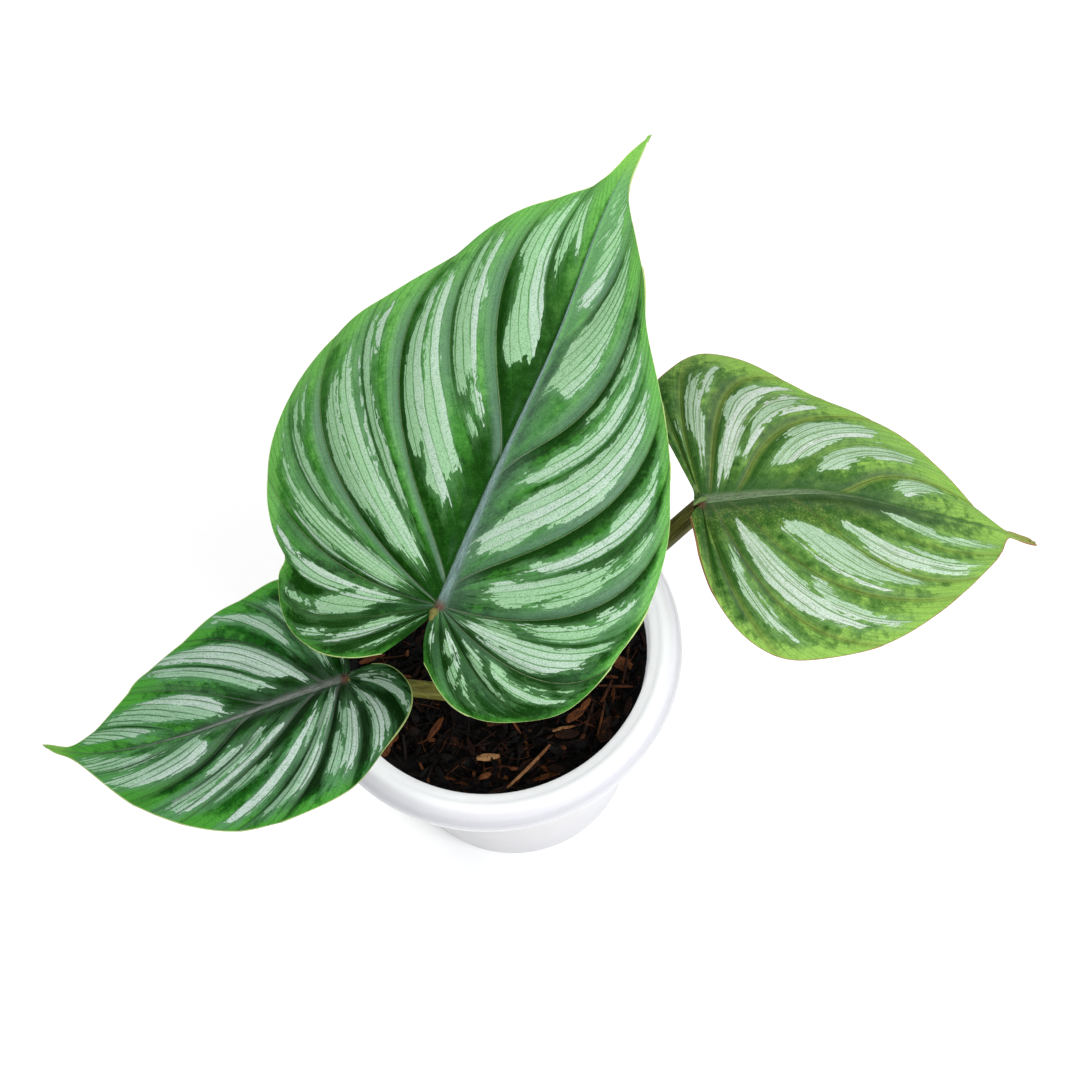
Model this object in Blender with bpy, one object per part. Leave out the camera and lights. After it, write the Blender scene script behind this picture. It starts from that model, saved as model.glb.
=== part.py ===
"""A young philodendron with three silver-marked heart leaves in a white nursery pot.

Every size below is in millimetres and is turned into metres where a mesh is made.
The pot's axis is +Z, its flat base stands on z = 0, and +Y points away from the
side that the plant is usually looked at from.
"""
import math
import random

import bpy
import bmesh
import numpy as np
from mathutils import Matrix, Vector, noise

MM = 0.001
CLEARANCE = 0.3

# Pot: a tapered cup with a rolled rim, an inner ledge and a thin lip
POT_SIDES = 40
POT_HEIGHT = 96.0
LIP_RADIUS = 60.0
LIP_TOP = 88.9
LIP_BOTTOM = 88.1
LEDGE_Z = 95.2
MOUTH_RADIUS = 50.0
WALL_TAPER = math.tan(math.radians(8.4))
WALL = 1.8
FLOOR = 2.5
DRAIN_HOLES = 6
DRAIN_RADIUS = 3.5
DRAIN_CIRCLE = 24.0

# Potting mix: dark coco fibre with bark chips lying in its surface
SOIL_TOP = 89.5
SOIL_RELIEF = 1.0
SOIL_RINGS = 7
CHIPS = 64
CHIP_LENGTH = (8.0, 20.0)
CHIP_WIDTH = (2.4, 5.0)
CHIP_DEPTH = (1.6, 2.8)
CHIP_SEED = 13

# Stem: a short rootstock with one stub for each leaf stalk
CROWN = Vector((-3.5, -17.1, 93.0))
STEM_RADIUS = 5.6
STEM_FOOT = 66.0
STEM_SHOULDER = 95.0
STUB_LENGTH = 9.0
STEM_SIDES = 16
STALK_SIDES = 10
STALK_RINGS = 10

# Leaf blades
BLADE = 0.9
RIB_DEPTH = 1.2
RIB_WIDTH = 2.4
STALK_DROP = 2.1
BLADE_ROWS = 7
COLUMNS = {"basal": 4, "mid": 3, "tip": 6}
LEAST_COLUMN = 1.2

# Each leaf has its stalk joint at base, in the pot's frame. Heading is the compass
# direction of its midrib, pitch its slope at the joint and arch how far it bends
# down by the tip, in degrees. Outlines and veins are (along, across) the blade, and
# +1 is the half on the left of the heading. A vein is its start along the midrib,
# the point that it bows toward, its end on the margin, and how deep it lies. The
# first line of each list of veins is the edge of the notch at the stalk.
LEAVES = {
    "large": {
        "base": (-10.6, -17.7, 169.0), "heading": 56, "pitch": 22, "arch": 24,
        "length": 157, "fold": 0.20, "camber": 0.005, "quilt": 2.6, "wave": 1.0,
        "stalk_radius": (3.6, 3.0), "stalk_sway": (2.0, 3.0, 0.0),
        "midrib": [(0, 0), (40, -1), (84, -2), (124, 1), (144, 1), (157, -1)],
        "outline": {
            +1: [(-19, 11), (-23, 19), (-25, 29), (-23, 39), (-17, 46), (-9, 50),
                 (-3, 50), (3, 57), (13, 64), (27, 69), (43, 70), (56, 67), (70, 60),
                 (84, 49), (98, 38), (112, 29), (124, 17.5), (129, 12.7), (133.4, 8.4),
                 (137.5, 5.4), (142, 3.9), (149, 2.2)],
            -1: [(-17, -2), (-23, -10), (-26, -18), (-25, -28), (-18, -42), (-9, -49),
                 (3, -53), (20, -56), (38, -55), (52, -51), (66, -45), (81, -36),
                 (96, -26), (110, -19), (122.5, -10.9), (131, -5.3), (136, -2.9), (141, -1.7),
                 (149, -1.2)]},
        "veins": {
            +1: [(0, (-10, 4), (-19, 11), 0.0), (0, (-21, 20), (-25, 33), 0.8),
                 (0, (-24, 39), (-12, 49), 0.8), (0, (-5, 41), (17, 66), 1.0),
                 (0, (14, 65), (45, 70), 0.5), (0, (26, 66), (65, 62), 1.0),
                 (4, (51, 60), (79, 53), 0.5), (10, (60, 56), (99, 37), 1.0),
                 (38, (73, 41), (113, 28), 0.7), (51, (93, 30), (126, 16), 1.0),
                 (84, (100, 15), (134, 8), 0.5), (132, (136, 2.8), (139.5, 4.6), 0.0)],
            -1: [(0, (-8, 3), (-17, -2), 0.0), (0, (-22, -7), (-26, -20), 0.6),
                 (0, (-26, -26), (-19, -40), 0.8), (0, (-20, -40), (2, -53), 1.0),
                 (0, (-5, -52), (21, -56), 0.5), (0, (4, -55), (47, -52), 1.0),
                 (6, (25, -55), (62, -47), 0.5), (10, (39, -49), (78, -37), 1.0),
                 (32, (56, -41), (92, -28), 0.5), (46, (68, -33), (115, -16), 1.0),
                 (84, (98, -15), (128, -9), 0.8), (132, (135, -1.6), (138, -2.4), 0.0)]},
        "colour": (0.055, 0.19, 0.045), "roughness": 0.42},
    "right": {
        "base": (69.9, 4.1, 158.0), "heading": -6, "pitch": -12, "arch": 26,
        "length": 113.5, "fold": 0.16, "camber": 0.006, "quilt": 1.9, "wave": 0.9,
        "stalk_radius": (3.5, 3.1), "stalk_sway": (0.0, 0.0, 2.5),
        "midrib": [(0, 0), (38, 4.5), (70, 2), (101.5, 0), (113.5, -1.5)],
        "outline": {
            +1: [(-11, 26), (-13, 34), (-10, 43), (-5, 49), (2, 55), (9, 57), (19, 54),
                 (28, 48), (38, 41), (50, 37), (61, 31), (73, 22), (86, 11.3), (90, 8.1),
                 (94.5, 4.6), (98.5, 2.2), (101.5, 0.9), (106, 0.6), (110.5, 0.3)],
            -1: [(-4, -5), (-3, -12), (-2, -20), (1, -29), (7, -38), (15, -44), (25, -47),
                 (38, -46), (50, -43), (61, -38), (73, -30), (84, -21), (91.7, -13.6),
                 (96, -9.2), (98.8, -5.9), (100.9, -2.9), (102.8, -1.1), (106, -1.5), (110.5, -1.7)]},
        "veins": {
            +1: [(0, (-5, 12), (-11, 26), 0.0), (0, (-6.5, 22), (-11, 41), 0.6),
                 (0, (-8, 36), (3, 55), 0.7), (3, (6, 54), (31, 46), 1.0),
                 (7, (13, 45), (46, 38), 0.4), (12, (21, 36), (58, 32), 1.0),
                 (25, (40, 31), (76, 19), 0.5), (45, (61, 21), (91, 8), 1.0),
                 (97, (99, 0.7), (101.5, 0.9), 0.0)],
            -1: [(0, (-3, -2), (-4, -5), 0.0), (0, (0, -17), (1, -29), 0.5),
                 (0, (4, -32), (21, -46), 0.8), (4, (16, -44), (54, -42), 1.0),
                 (12, (31, -37), (80, -24), 1.0), (31, (55, -29), (88, -17), 1.0),
                 (43, (66, -15), (97, -8), 0.7), (97, (99, -1.2), (101.6, -2.3), 0.0)]},
        "colour": (0.10, 0.22, 0.05), "roughness": 0.45},
    "left": {
        "base": (-44.5, -16.9, 128.0), "heading": 177, "pitch": 0, "arch": 26,
        "length": 101, "fold": 0.16, "camber": 0.007, "quilt": 2.1, "wave": 0.8,
        "stalk_radius": (2.9, 2.4), "stalk_sway": (0.0, 0.0, 1.5),
        "midrib": [(0, 0), (20, 4), (40, 8), (60, 9.5), (78, 8), (90, 4.4), (96, 1.6), (101, -1.5)],
        "outline": {
            +1: [(-9, -3.2), (-14, -2), (-18, 2), (-20, 8), (-18, 15), (-11, 23),
                 (-2, 32), (8, 37), (20, 40), (32, 41), (45, 39), (58, 34), (69, 27),
                 (73.4, 23.3), (78.8, 17.6), (83.5, 12.5), (86.6, 9.3), (89.7, 6.7),
                 (93, 4.7), (97, 2.2)],
            -1: [(-4, -13), (-2, -22), (4, -31), (11, -37), (19, -38), (29, -33),
                 (39, -29), (50, -22), (62, -14), (71, -7), (75.6, -4), (80, -1.5), (84.4, 0.9),
                 (87, 2), (89.5, 2.4), (92, 2.1), (95, 0.9), (98, -0.6)]},
        "veins": {
            +1: [(0, (-4, -2.5), (-9, -3.2), 0.0), (0, (-16, 7), (-13, 21), 0.6),
                 (0, (-9, 18), (2, 34), 0.8), (2, (6, 29), (25, 40), 1.0),
                 (5, (11, 31), (38, 40), 0.6), (10, (26, 25), (56, 35), 1.0),
                 (20, (34, 25), (64, 30), 0.5), (32, (43, 24), (71, 25), 1.0),
                 (50, (62, 16), (82, 15), 0.5), (87, (89, 5.6), (91, 5.8), 0.0)],
            -1: [(0, (-2.4, -6), (-4, -13), 0.0), (0, (-3, -12), (-1, -24), 0.5),
                 (0, (4, -24), (12, -37), 0.7), (4, (18, -28), (31, -33), 0.8),
                 (7, (25, -21), (50, -22), 1.0), (15, (36, -14), (61, -15), 0.5),
                 (25, (45, -7), (69, -9), 1.0), (50, (64, 1), (81, 0), 0.5),
                 (87, (88.5, 3.8), (90, 2.4), 0.0)]},
        "colour": (0.045, 0.16, 0.05), "roughness": 0.42},
}


def clear_scene():
    for thing in list(bpy.data.objects):
        bpy.data.objects.remove(thing, do_unlink=True)


def material(name, colour, roughness, metallic=0.0):
    made = bpy.data.materials.new(name)
    made.use_nodes = True
    shader = made.node_tree.nodes["Principled BSDF"]
    shader.inputs["Base Color"].default_value = (*colour, 1.0)
    shader.inputs["Roughness"].default_value = roughness
    shader.inputs["Metallic"].default_value = metallic
    return made


def solid(name, corners, faces, finish, smooth=True):
    """One object from corners in millimetres, with every face turned outward."""
    mesh = bpy.data.meshes.new(name)
    mesh.from_pydata([tuple(c * MM for c in corner) for corner in corners], [], faces)
    shape = bmesh.new()
    shape.from_mesh(mesh)
    bmesh.ops.recalc_face_normals(shape, faces=shape.faces[:])
    shape.to_mesh(mesh)
    shape.free()
    if smooth:
        mesh.shade_smooth()
        mesh.set_sharp_from_angle(angle=math.radians(35))
    mesh.materials.append(finish)
    made = bpy.data.objects.new(name, mesh)
    bpy.context.scene.collection.objects.link(made)
    return made


def combine(target, others, operation):
    """Apply one exact Boolean of the target with a collection of closed solids."""
    tools = bpy.data.collections.new(target.name + "_tools")
    bpy.context.scene.collection.children.link(tools)
    for other in others:
        for owner in list(other.users_collection):
            owner.objects.unlink(other)
        tools.objects.link(other)
        other.hide_render = True
        other.display_type = 'WIRE'
    step = target.modifiers.new(operation.title(), 'BOOLEAN')
    step.operation = operation
    step.solver = 'EXACT'
    step.operand_type = 'COLLECTION'
    step.collection = tools
    bpy.context.view_layer.objects.active = target
    bpy.ops.object.modifier_apply(modifier=step.name)
    for other in others:
        bpy.data.objects.remove(other, do_unlink=True)
    bpy.data.collections.remove(tools)


def keep_outer_skin(target):
    """Fill the pockets that overlapping pieces seal in, by dropping every island but the largest."""
    shape = bmesh.new()
    shape.from_mesh(target.data)
    unseen = set(shape.verts)
    islands = []
    while unseen:
        island = {unseen.pop()}
        front = list(island)
        while front:
            for edge in front.pop().link_edges:
                for corner in edge.verts:
                    if corner in unseen:
                        unseen.remove(corner)
                        island.add(corner)
                        front.append(corner)
        islands.append(island)
    islands.sort(key=len)
    for island in islands[:-1]:
        bmesh.ops.delete(shape, geom=list(island), context='VERTS')
    shape.to_mesh(target.data)
    shape.free()


def turned(profile, sides):
    """Corners and faces of a profile of (radius, height) turned round the pot's axis."""
    corners = []
    rings = []
    for radius, height in profile:
        if radius == 0:
            rings.append([len(corners)])
            corners.append((0.0, 0.0, height))
            continue
        rings.append(list(range(len(corners), len(corners) + sides)))
        for side in range(sides):
            turn = 2 * math.pi * side / sides
            corners.append((radius * math.cos(turn), radius * math.sin(turn), height))
    faces = []
    for lower, upper in zip(rings, rings[1:]):
        for side in range(sides):
            after = (side + 1) % sides
            if len(lower) == 1:
                faces.append((lower[0], upper[side], upper[after]))
            elif len(upper) == 1:
                faces.append((lower[side], lower[after], upper[0]))
            else:
                faces.append((lower[side], lower[after], upper[after], upper[side]))
    return corners, faces


def cylinder(centre, radius, bottom, top, sides, finish):
    corners = []
    for height in (bottom, top):
        for side in range(sides):
            turn = 2 * math.pi * side / sides
            corners.append((centre[0] + radius * math.cos(turn),
                            centre[1] + radius * math.sin(turn), height))
    faces = [tuple(range(sides)), tuple(range(sides, 2 * sides))]
    for side in range(sides):
        after = (side + 1) % sides
        faces.append((side, after, sides + after, sides + side))
    return solid("round_tool", corners, faces, finish)


def mouth_wall(height):
    """Radius of the pot's inner wall at a height."""
    return MOUTH_RADIUS - WALL_TAPER * (LEDGE_Z - height)


def make_pot(finish):
    shelf = LEDGE_Z - 1.8
    roll = [(58.6, 90.2), (58.2, 92.2), (57.1, 94.4), (55.7, 95.6), (54.5, POT_HEIGHT),
            (53.4, 95.7), (52.9, LEDGE_Z)]
    profile = [(0, 0), (mouth_wall(0) + WALL - 1.2, 0), (mouth_wall(0) + WALL, 1.2),
               (mouth_wall(shelf) + WALL, shelf - 0.8), (52.6, shelf), (55.8, shelf),
               (57.0, shelf - 1.0), (58.0, LIP_BOTTOM), (LIP_RADIUS, LIP_BOTTOM),
               (LIP_RADIUS, LIP_TOP), (58.9, 89.3)]
    profile += roll
    profile += [(MOUTH_RADIUS + 0.5, LEDGE_Z), (MOUTH_RADIUS, LEDGE_Z - 0.5),
                (mouth_wall(FLOOR + 1.5), FLOOR + 1.5), (mouth_wall(FLOOR) - 1.5, FLOOR),
                (0, FLOOR)]
    pot = solid("pot", *turned(profile, POT_SIDES), finish)
    drills = []
    for hole in range(DRAIN_HOLES):
        turn = 2 * math.pi * (hole + 0.5) / DRAIN_HOLES
        centre = (DRAIN_CIRCLE * math.cos(turn), DRAIN_CIRCLE * math.sin(turn))
        drills.append(cylinder(centre, DRAIN_RADIUS, -2.0, FLOOR + 2.0, 12, finish))
    combine(pot, drills, 'DIFFERENCE')
    return pot


def soil_height(x, y):
    """Height of the loose surface, which dips a little toward the wall."""
    bumps = noise.noise(Vector((x / 9.0, y / 9.0, 3.7))) + 0.5 * noise.noise(Vector((x / 4.0, y / 4.0, 8.1)))
    return SOIL_TOP + SOIL_RELIEF * bumps - 1.2 * (math.hypot(x, y) / MOUTH_RADIUS) ** 4


def bark_chip(rng, finish):
    """A split, tapered piece of bark, half sunk in the surface."""
    while True:
        reach = 44.0 * math.sqrt(rng.random())
        turn = rng.uniform(0, 2 * math.pi)
        place = Vector((reach * math.cos(turn), reach * math.sin(turn), 0))
        length = rng.uniform(*CHIP_LENGTH)
        clear = (place.xy - CROWN.xy).length - length / 2 > STEM_RADIUS + 1.5
        if clear and reach + length * 0.35 < 45.5:
            break
    width = rng.uniform(*CHIP_WIDTH)
    depth = rng.uniform(*CHIP_DEPTH)
    place.z = soil_height(place.x, place.y) + rng.uniform(-0.5, 0.3)
    tangent = turn + math.pi / 2 + rng.uniform(-1.2, 1.2)
    lean = Matrix.Rotation(tangent, 4, 'Z') @ Matrix.Rotation(rng.uniform(-0.12, 0.12), 4, 'Y')
    lean = lean @ Matrix.Rotation(rng.uniform(-0.4, 0.4), 4, 'X')
    corners = []
    for along, narrow in ((-0.5, rng.uniform(0.35, 0.8)), (0.08, 1.0), (0.5, rng.uniform(0.2, 0.6))):
        for across, up in ((-0.5, -0.5), (0.5, -0.5), (0.42, 0.5), (-0.36, 0.42)):
            point = Vector((length * along, width * narrow * across, depth * up * (0.7 + 0.3 * narrow)))
            corners.append(tuple(place + (lean @ point)))
    faces = [(0, 1, 2, 3), (8, 9, 10, 11)]
    for ring in (0, 4):
        for side in range(4):
            after = (side + 1) % 4
            faces.append((ring + side, ring + after, ring + 4 + after, ring + 4 + side))
    return solid("chip", corners, faces, finish)


def make_potting_mix(finish):
    low = FLOOR + CLEARANCE
    fit = CLEARANCE + 0.05
    brim = SOIL_TOP - 3.0
    profile = [(0, low), (mouth_wall(low) - 1.5 - fit, low), (mouth_wall(low + 1.5) - fit, low + 1.5),
               (mouth_wall(brim) - fit, brim)]
    edge = mouth_wall(SOIL_TOP) - fit - 0.2
    profile += [(edge * (SOIL_RINGS - ring) / SOIL_RINGS, SOIL_TOP) for ring in range(SOIL_RINGS + 1)]
    corners, faces = turned(profile, POT_SIDES)
    loose = [(x, y, soil_height(x, y) if z == SOIL_TOP else z) for x, y, z in corners]
    mix = solid("potting_mix", loose, faces, finish)
    rng = random.Random(CHIP_SEED)
    combine(mix, [bark_chip(rng, finish) for _ in range(CHIPS)], 'UNION')
    keep_outer_skin(mix)
    hole = cylinder(CROWN, STEM_RADIUS + CLEARANCE, STEM_FOOT - CLEARANCE, POT_HEIGHT, STEM_SIDES, finish)
    combine(mix, [hole], 'DIFFERENCE')
    return mix


def spline(points, steps=12):
    """A smooth line through the points (Catmull-Rom)."""
    given = np.array(points, float)
    given = np.vstack([2 * given[0] - given[1], given, 2 * given[-1] - given[-2]])
    line = []
    for before, first, second, after in zip(given, given[1:], given[2:], given[3:]):
        for s in np.arange(steps) / steps:
            line.append(0.5 * (2 * first + (second - before) * s
                               + (2 * before - 5 * first + 4 * second - after) * s ** 2
                               + (3 * first - before - 3 * second + after) * s ** 3))
    line.append(given[-2])
    return np.array(line)


def read_half(leaf, side):
    """The guides of one half of a blade, each a value per vein counted from the notch."""
    tip = leaf["midrib"][-1]
    midrib = spline(leaf["midrib"])
    margin = spline(leaf["outline"][side] + [tip])
    run = np.concatenate([[0.0], np.cumsum(np.hypot(*np.diff(margin, axis=0).T))])
    starts, reaches, bows, depths = [], [], [], []
    for start, bow, end, depth in leaf["veins"][side]:
        nearest = np.argmin(((margin - np.array(end)) ** 2).sum(axis=1))
        root = np.array((start, np.interp(start, *midrib.T)))
        chord = margin[nearest] - root
        toward = np.array(bow) - root
        along = toward @ chord / (chord @ chord)
        across = (toward[1] * chord[0] - toward[0] * chord[1]) / (chord @ chord)
        starts.append(start)
        reaches.append(run[nearest])
        bows.append((along, across))
        depths.append(depth)
    starts.append(tip[0])
    reaches.append(run[-1])
    bows.append((0.5, 0.0))
    depths.append(0.0)
    basal = max(i for i, start in enumerate(starts) if start == 0)
    return {"count": np.arange(len(starts)), "start": np.array(starts, float), "reach": np.array(reaches),
            "bow": np.array(bows), "depth": np.array(depths), "basal": basal,
            "margin": margin, "run": run, "midrib": midrib}


def marks(half, first, fineness):
    """Vein counts from the first one to the tip at which columns are drawn."""
    last = len(half["count"]) - 1
    counts = []
    for vein in range(first, last):
        pieces = fineness["basal" if vein < half["basal"] else "mid"]
        if vein == last - 2:
            pieces = fineness["tip"]
        counts += [vein + piece / pieces for piece in range(pieces)]
    return counts + [float(last)]


def midrib_stations(halves, fineness, least):
    """Places along the midrib where both halves start a column."""
    places = set()
    for half in halves.values():
        for count in marks(half, half["basal"], fineness):
            places.add(round(float(np.interp(count, half["count"], half["start"])), 2))
    places = sorted(places)
    kept = [0.0]
    for place in places[1:-1]:
        if place - kept[-1] > least and places[-1] - place > least:
            kept.append(place)
    return kept + [places[-1]]


def column(half, count, rows):
    """Points (along, across) of the curve from the midrib to the margin at a vein count."""
    start = np.interp(count, half["count"], half["start"])
    root = np.array((start, np.interp(start, *half["midrib"].T)))
    reach = np.interp(count, half["count"], half["reach"])
    end = np.array([np.interp(reach, half["run"], axis) for axis in half["margin"].T])
    along, across = (np.interp(count, half["count"], bow) for bow in half["bow"].T)
    chord = end - root
    bowed = root + along * chord + across * np.array((-chord[1], chord[0]))
    t = np.array(rows)[:, None]
    return (1 - t) ** 2 * root + 2 * t * (1 - t) * bowed + t ** 2 * end


def relief(leaf, half, count, t):
    """Height of the quilted blade: veins lie sunk between bulges, and the edge waves."""
    swell = leaf["quilt"] * (0.85 * np.sin(math.pi * t ** 0.75) + 0.3 * t ** 3)
    depth = np.interp(count, half["count"], half["depth"])
    fade = min(1.0, (half["count"][-1] - count) / 2.0)
    sunk = depth * (1 - abs(math.sin(math.pi * count))) * math.sqrt(fade)
    wave = leaf["wave"] * math.sin(2 * math.pi * 0.37 * count + 1) * t ** 3 * fade
    return swell * (0.35 * fade - sunk) + wave


def place_on_leaf(leaf, along, across, lift):
    """A point of the arched, folded blade in the pot's frame, lifted off its surface."""
    pitch = math.radians(leaf["pitch"])
    bend = math.radians(leaf["arch"]) / leaf["length"]
    heading = math.radians(leaf["heading"])
    slope = pitch - bend * along
    forward = (math.sin(pitch) - math.sin(slope)) / bend
    rise = (math.cos(slope) - math.cos(pitch)) / bend
    lift += leaf["fold"] * (math.sqrt(across ** 2 + 9) - 3) - leaf["camber"] * across ** 2
    ahead = Vector((math.cos(heading), math.sin(heading), 0))
    aside = Vector((-math.sin(heading), math.cos(heading), 0))
    up = -math.sin(slope) * ahead + Vector((0, 0, math.cos(slope)))
    return Vector(leaf["base"]) + forward * ahead + Vector((0, 0, rise)) + across * aside + lift * up


def leaf_net(leaf, rows, fineness, least):
    """Net of a whole blade: points (along, across, height, rib) and the triangles of one face."""
    halves = {side: read_half(leaf, side) for side in (+1, -1)}
    stations = midrib_stations(halves, fineness, least)
    points = [(0.0, 0.0, 0.0, 1.0)]
    spine = {0.0: 0}
    triangles = []
    margins = {}
    for side, half in halves.items():
        from_basal = half["start"][half["basal"]:], half["count"][half["basal"]:]
        counts = [c for c in marks(half, 0, fineness) if c < half["basal"]]
        counts += [float(np.interp(station, *from_basal)) for station in stations]
        roots = [0.0] * (len(counts) - len(stations)) + stations
        columns = []
        for count, root in zip(counts, roots):
            line = column(half, count, rows)
            taper = 1 - root / leaf["length"]
            ids = []
            for row, (along, across) in zip(rows, line):
                if row == 0 and root in spine:
                    ids.append(spine[root])
                    continue
                if row > 0 and root == stations[-1]:
                    ids.append(ids[0])
                    continue
                height = float(relief(leaf, half, count, row))
                off = across - np.interp(along, *half["midrib"].T)
                rib = math.exp(-(off / RIB_WIDTH) ** 2) * max(0.0, min(1.0, 1 + along)) * taper
                points.append((float(along), float(across), height, float(rib)))
                ids.append(len(points) - 1)
                if row == 0:
                    spine[root] = ids[0]
            columns.append(ids)
        for here, there in zip(columns, columns[1:]):
            for k in range(len(rows) - 1):
                for corners in ((here[k], there[k], there[k + 1]), (here[k], there[k + 1], here[k + 1])):
                    if len(set(corners)) == 3:
                        triangles.append(corners if side > 0 else corners[::-1])
        margins[side] = columns[0][1:] + [ids[-1] for ids in columns[1:]]
    border = [0] + margins[-1] + margins[+1][-2::-1]
    return points, triangles, border


def make_leaf(name, leaf, finish):
    rows = [(row / BLADE_ROWS) ** 1.15 for row in range(BLADE_ROWS + 1)]
    points, triangles, border = leaf_net(leaf, rows, COLUMNS, LEAST_COLUMN)
    top = [place_on_leaf(leaf, x, y, h + BLADE / 2) for x, y, h, _ in points]
    under = [place_on_leaf(leaf, x, y, h - BLADE / 2 - RIB_DEPTH * rib) for x, y, h, rib in points]
    count = len(points)
    faces = list(triangles)
    faces += [tuple(count + corner for corner in corners[::-1]) for corners in triangles]
    for here, there in zip(border, border[1:] + border[:1]):
        faces.append((there, here, count + here))
        faces.append((there, count + here, count + there))
    return solid(name, top + under, faces, finish)


def stalk_path(leaf):
    """Centre line from the crown to just under the blade, with its length at each point."""
    end = place_on_leaf(leaf, 0, 0, -STALK_DROP)
    middle = (CROWN + end) / 2 + Vector(leaf["stalk_sway"])
    line = [CROWN * (1 - t) ** 2 + middle * (2 * t * (1 - t)) + end * t ** 2 for t in np.linspace(0, 1, 81)]
    run = [0.0]
    for before, after in zip(line, line[1:]):
        run.append(run[-1] + (after - before).length)
    return line, run


def point_along(line, run, distance):
    return Vector([np.interp(distance, run, [p[axis] for p in line]) for axis in range(3)])


def stalk_ring(centre, direction, radius):
    """A rounded section with a shallow channel on its upper side."""
    level = Vector((0, 0, 1)).cross(direction)
    level = level.normalized() if level.length > 0.2 else Vector((0, 1, 0))
    upper = direction.cross(level).normalized()
    level = upper.cross(direction).normalized()
    ring = []
    for side in range(STALK_SIDES):
        turn = 2 * math.pi * (side + 0.5) / STALK_SIDES
        height = min(math.sin(turn), 0.62)
        ring.append(centre + level * (radius * math.cos(turn)) + upper * (radius * height))
    return ring


def tube(name, rings, finish):
    corners = [corner for ring in rings for corner in ring]
    sides = len(rings[0])
    last = len(corners) - sides
    faces = [tuple(range(sides)), tuple(range(last, last + sides))]
    for ring in range(len(rings) - 1):
        for side in range(sides):
            after = (side + 1) % sides
            low, high = ring * sides, (ring + 1) * sides
            faces.append((low + side, low + after, high + after, high + side))
    return solid(name, corners, faces, finish)


def make_stalk(name, leaf, finish):
    line, run = stalk_path(leaf)
    thick, thin = leaf["stalk_radius"]
    up = (place_on_leaf(leaf, 0, 0, 1) - place_on_leaf(leaf, 0, 0, 0)).normalized()
    rings = []
    for step in range(STALK_RINGS + 1):
        part = step / STALK_RINGS
        distance = STUB_LENGTH + CLEARANCE + (run[-1] - 4.0 - STUB_LENGTH) * part
        ahead = point_along(line, run, min(distance + 0.5, run[-1]))
        centre = point_along(line, run, distance)
        rings.append(stalk_ring(centre, (ahead - centre).normalized(), thick + (thin - thick) * part))
    cap = []
    for corner in rings[-1]:
        outward = (corner - centre) - (corner - centre).dot(up) * up
        cap.append(line[-1] + outward.normalized() * thin)
    rings.append(cap)
    return tube(name, rings, finish)


def make_stem(finish):
    stem = cylinder(CROWN, STEM_RADIUS, STEM_FOOT, STEM_SHOULDER, STEM_SIDES, finish)
    stem.name = "stem"
    stem.data.name = "stem"
    stubs = []
    for leaf in LEAVES.values():
        line, run = stalk_path(leaf)
        end = point_along(line, run, STUB_LENGTH)
        ahead = (point_along(line, run, STUB_LENGTH + 0.5) - end).normalized()
        radius = leaf["stalk_radius"][0]
        rings = [stalk_ring(CROWN - ahead * 1.5, ahead, radius + 0.7), stalk_ring(end, ahead, radius + 0.1)]
        stubs.append(tube("stub", rings, finish))
    combine(stem, stubs, 'UNION')
    return stem


def build():
    clear_scene()
    white_plastic = material("white_plastic", (0.86, 0.86, 0.85), 0.35)
    dark_bark = material("dark_bark", (0.035, 0.017, 0.009), 0.85)
    olive_stem = material("olive_stem", (0.13, 0.12, 0.045), 0.5)
    make_pot(white_plastic)
    make_potting_mix(dark_bark)
    make_stem(olive_stem)
    for name, leaf in LEAVES.items():
        make_stalk("stalk_" + name, leaf, olive_stem)
        blade = material("blade_" + name, leaf["colour"], leaf["roughness"])
        make_leaf("leaf_" + name, leaf, blade)


build()
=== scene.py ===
# %% [markdown]
# # A young philodendron with silver-marked leaves
#
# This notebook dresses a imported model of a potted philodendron: a white nursery pot with
# a rolled rim, dark bark mix, and three heart-shaped leaves on olive stalks. The solids
# give every place and size. Each piece below is a finer one that stands where its solid
# stands, with a finish made only of shader nodes.

# %% Load the solids as a fixed frame
import math
import random

import bpy
import numpy as np
from mathutils import Matrix, Vector, noise


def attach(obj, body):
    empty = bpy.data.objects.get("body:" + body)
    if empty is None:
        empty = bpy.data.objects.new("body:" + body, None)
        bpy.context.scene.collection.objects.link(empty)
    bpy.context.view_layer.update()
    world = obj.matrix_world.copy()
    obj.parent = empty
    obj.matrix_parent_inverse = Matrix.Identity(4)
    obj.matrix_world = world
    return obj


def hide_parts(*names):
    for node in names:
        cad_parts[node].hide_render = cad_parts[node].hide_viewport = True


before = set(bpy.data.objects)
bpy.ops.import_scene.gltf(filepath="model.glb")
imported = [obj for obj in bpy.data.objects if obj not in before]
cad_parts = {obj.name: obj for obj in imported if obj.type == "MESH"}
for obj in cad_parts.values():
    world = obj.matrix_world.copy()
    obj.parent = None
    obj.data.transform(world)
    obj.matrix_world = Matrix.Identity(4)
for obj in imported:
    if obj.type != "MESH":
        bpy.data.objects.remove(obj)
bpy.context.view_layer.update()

MM = 0.001
print("solids:", sorted(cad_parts))

# %% [markdown]
# ## The view
#
# The plant is looked down on from the front, at about 64 degrees, with a long lens. A
# camera can be aimed with a constraint, but a fixed place, elevation and roll say exactly
# what it sees, so its three axes are worked out here and written into its matrix.

# %% Camera
VIEW_FROM = Vector((21.113, -337.046, 868.035)) * MM
VIEW_ELEVATION = math.radians(64.456)
VIEW_ROLL = math.radians(10.586)
LENS = 89.28

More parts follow.
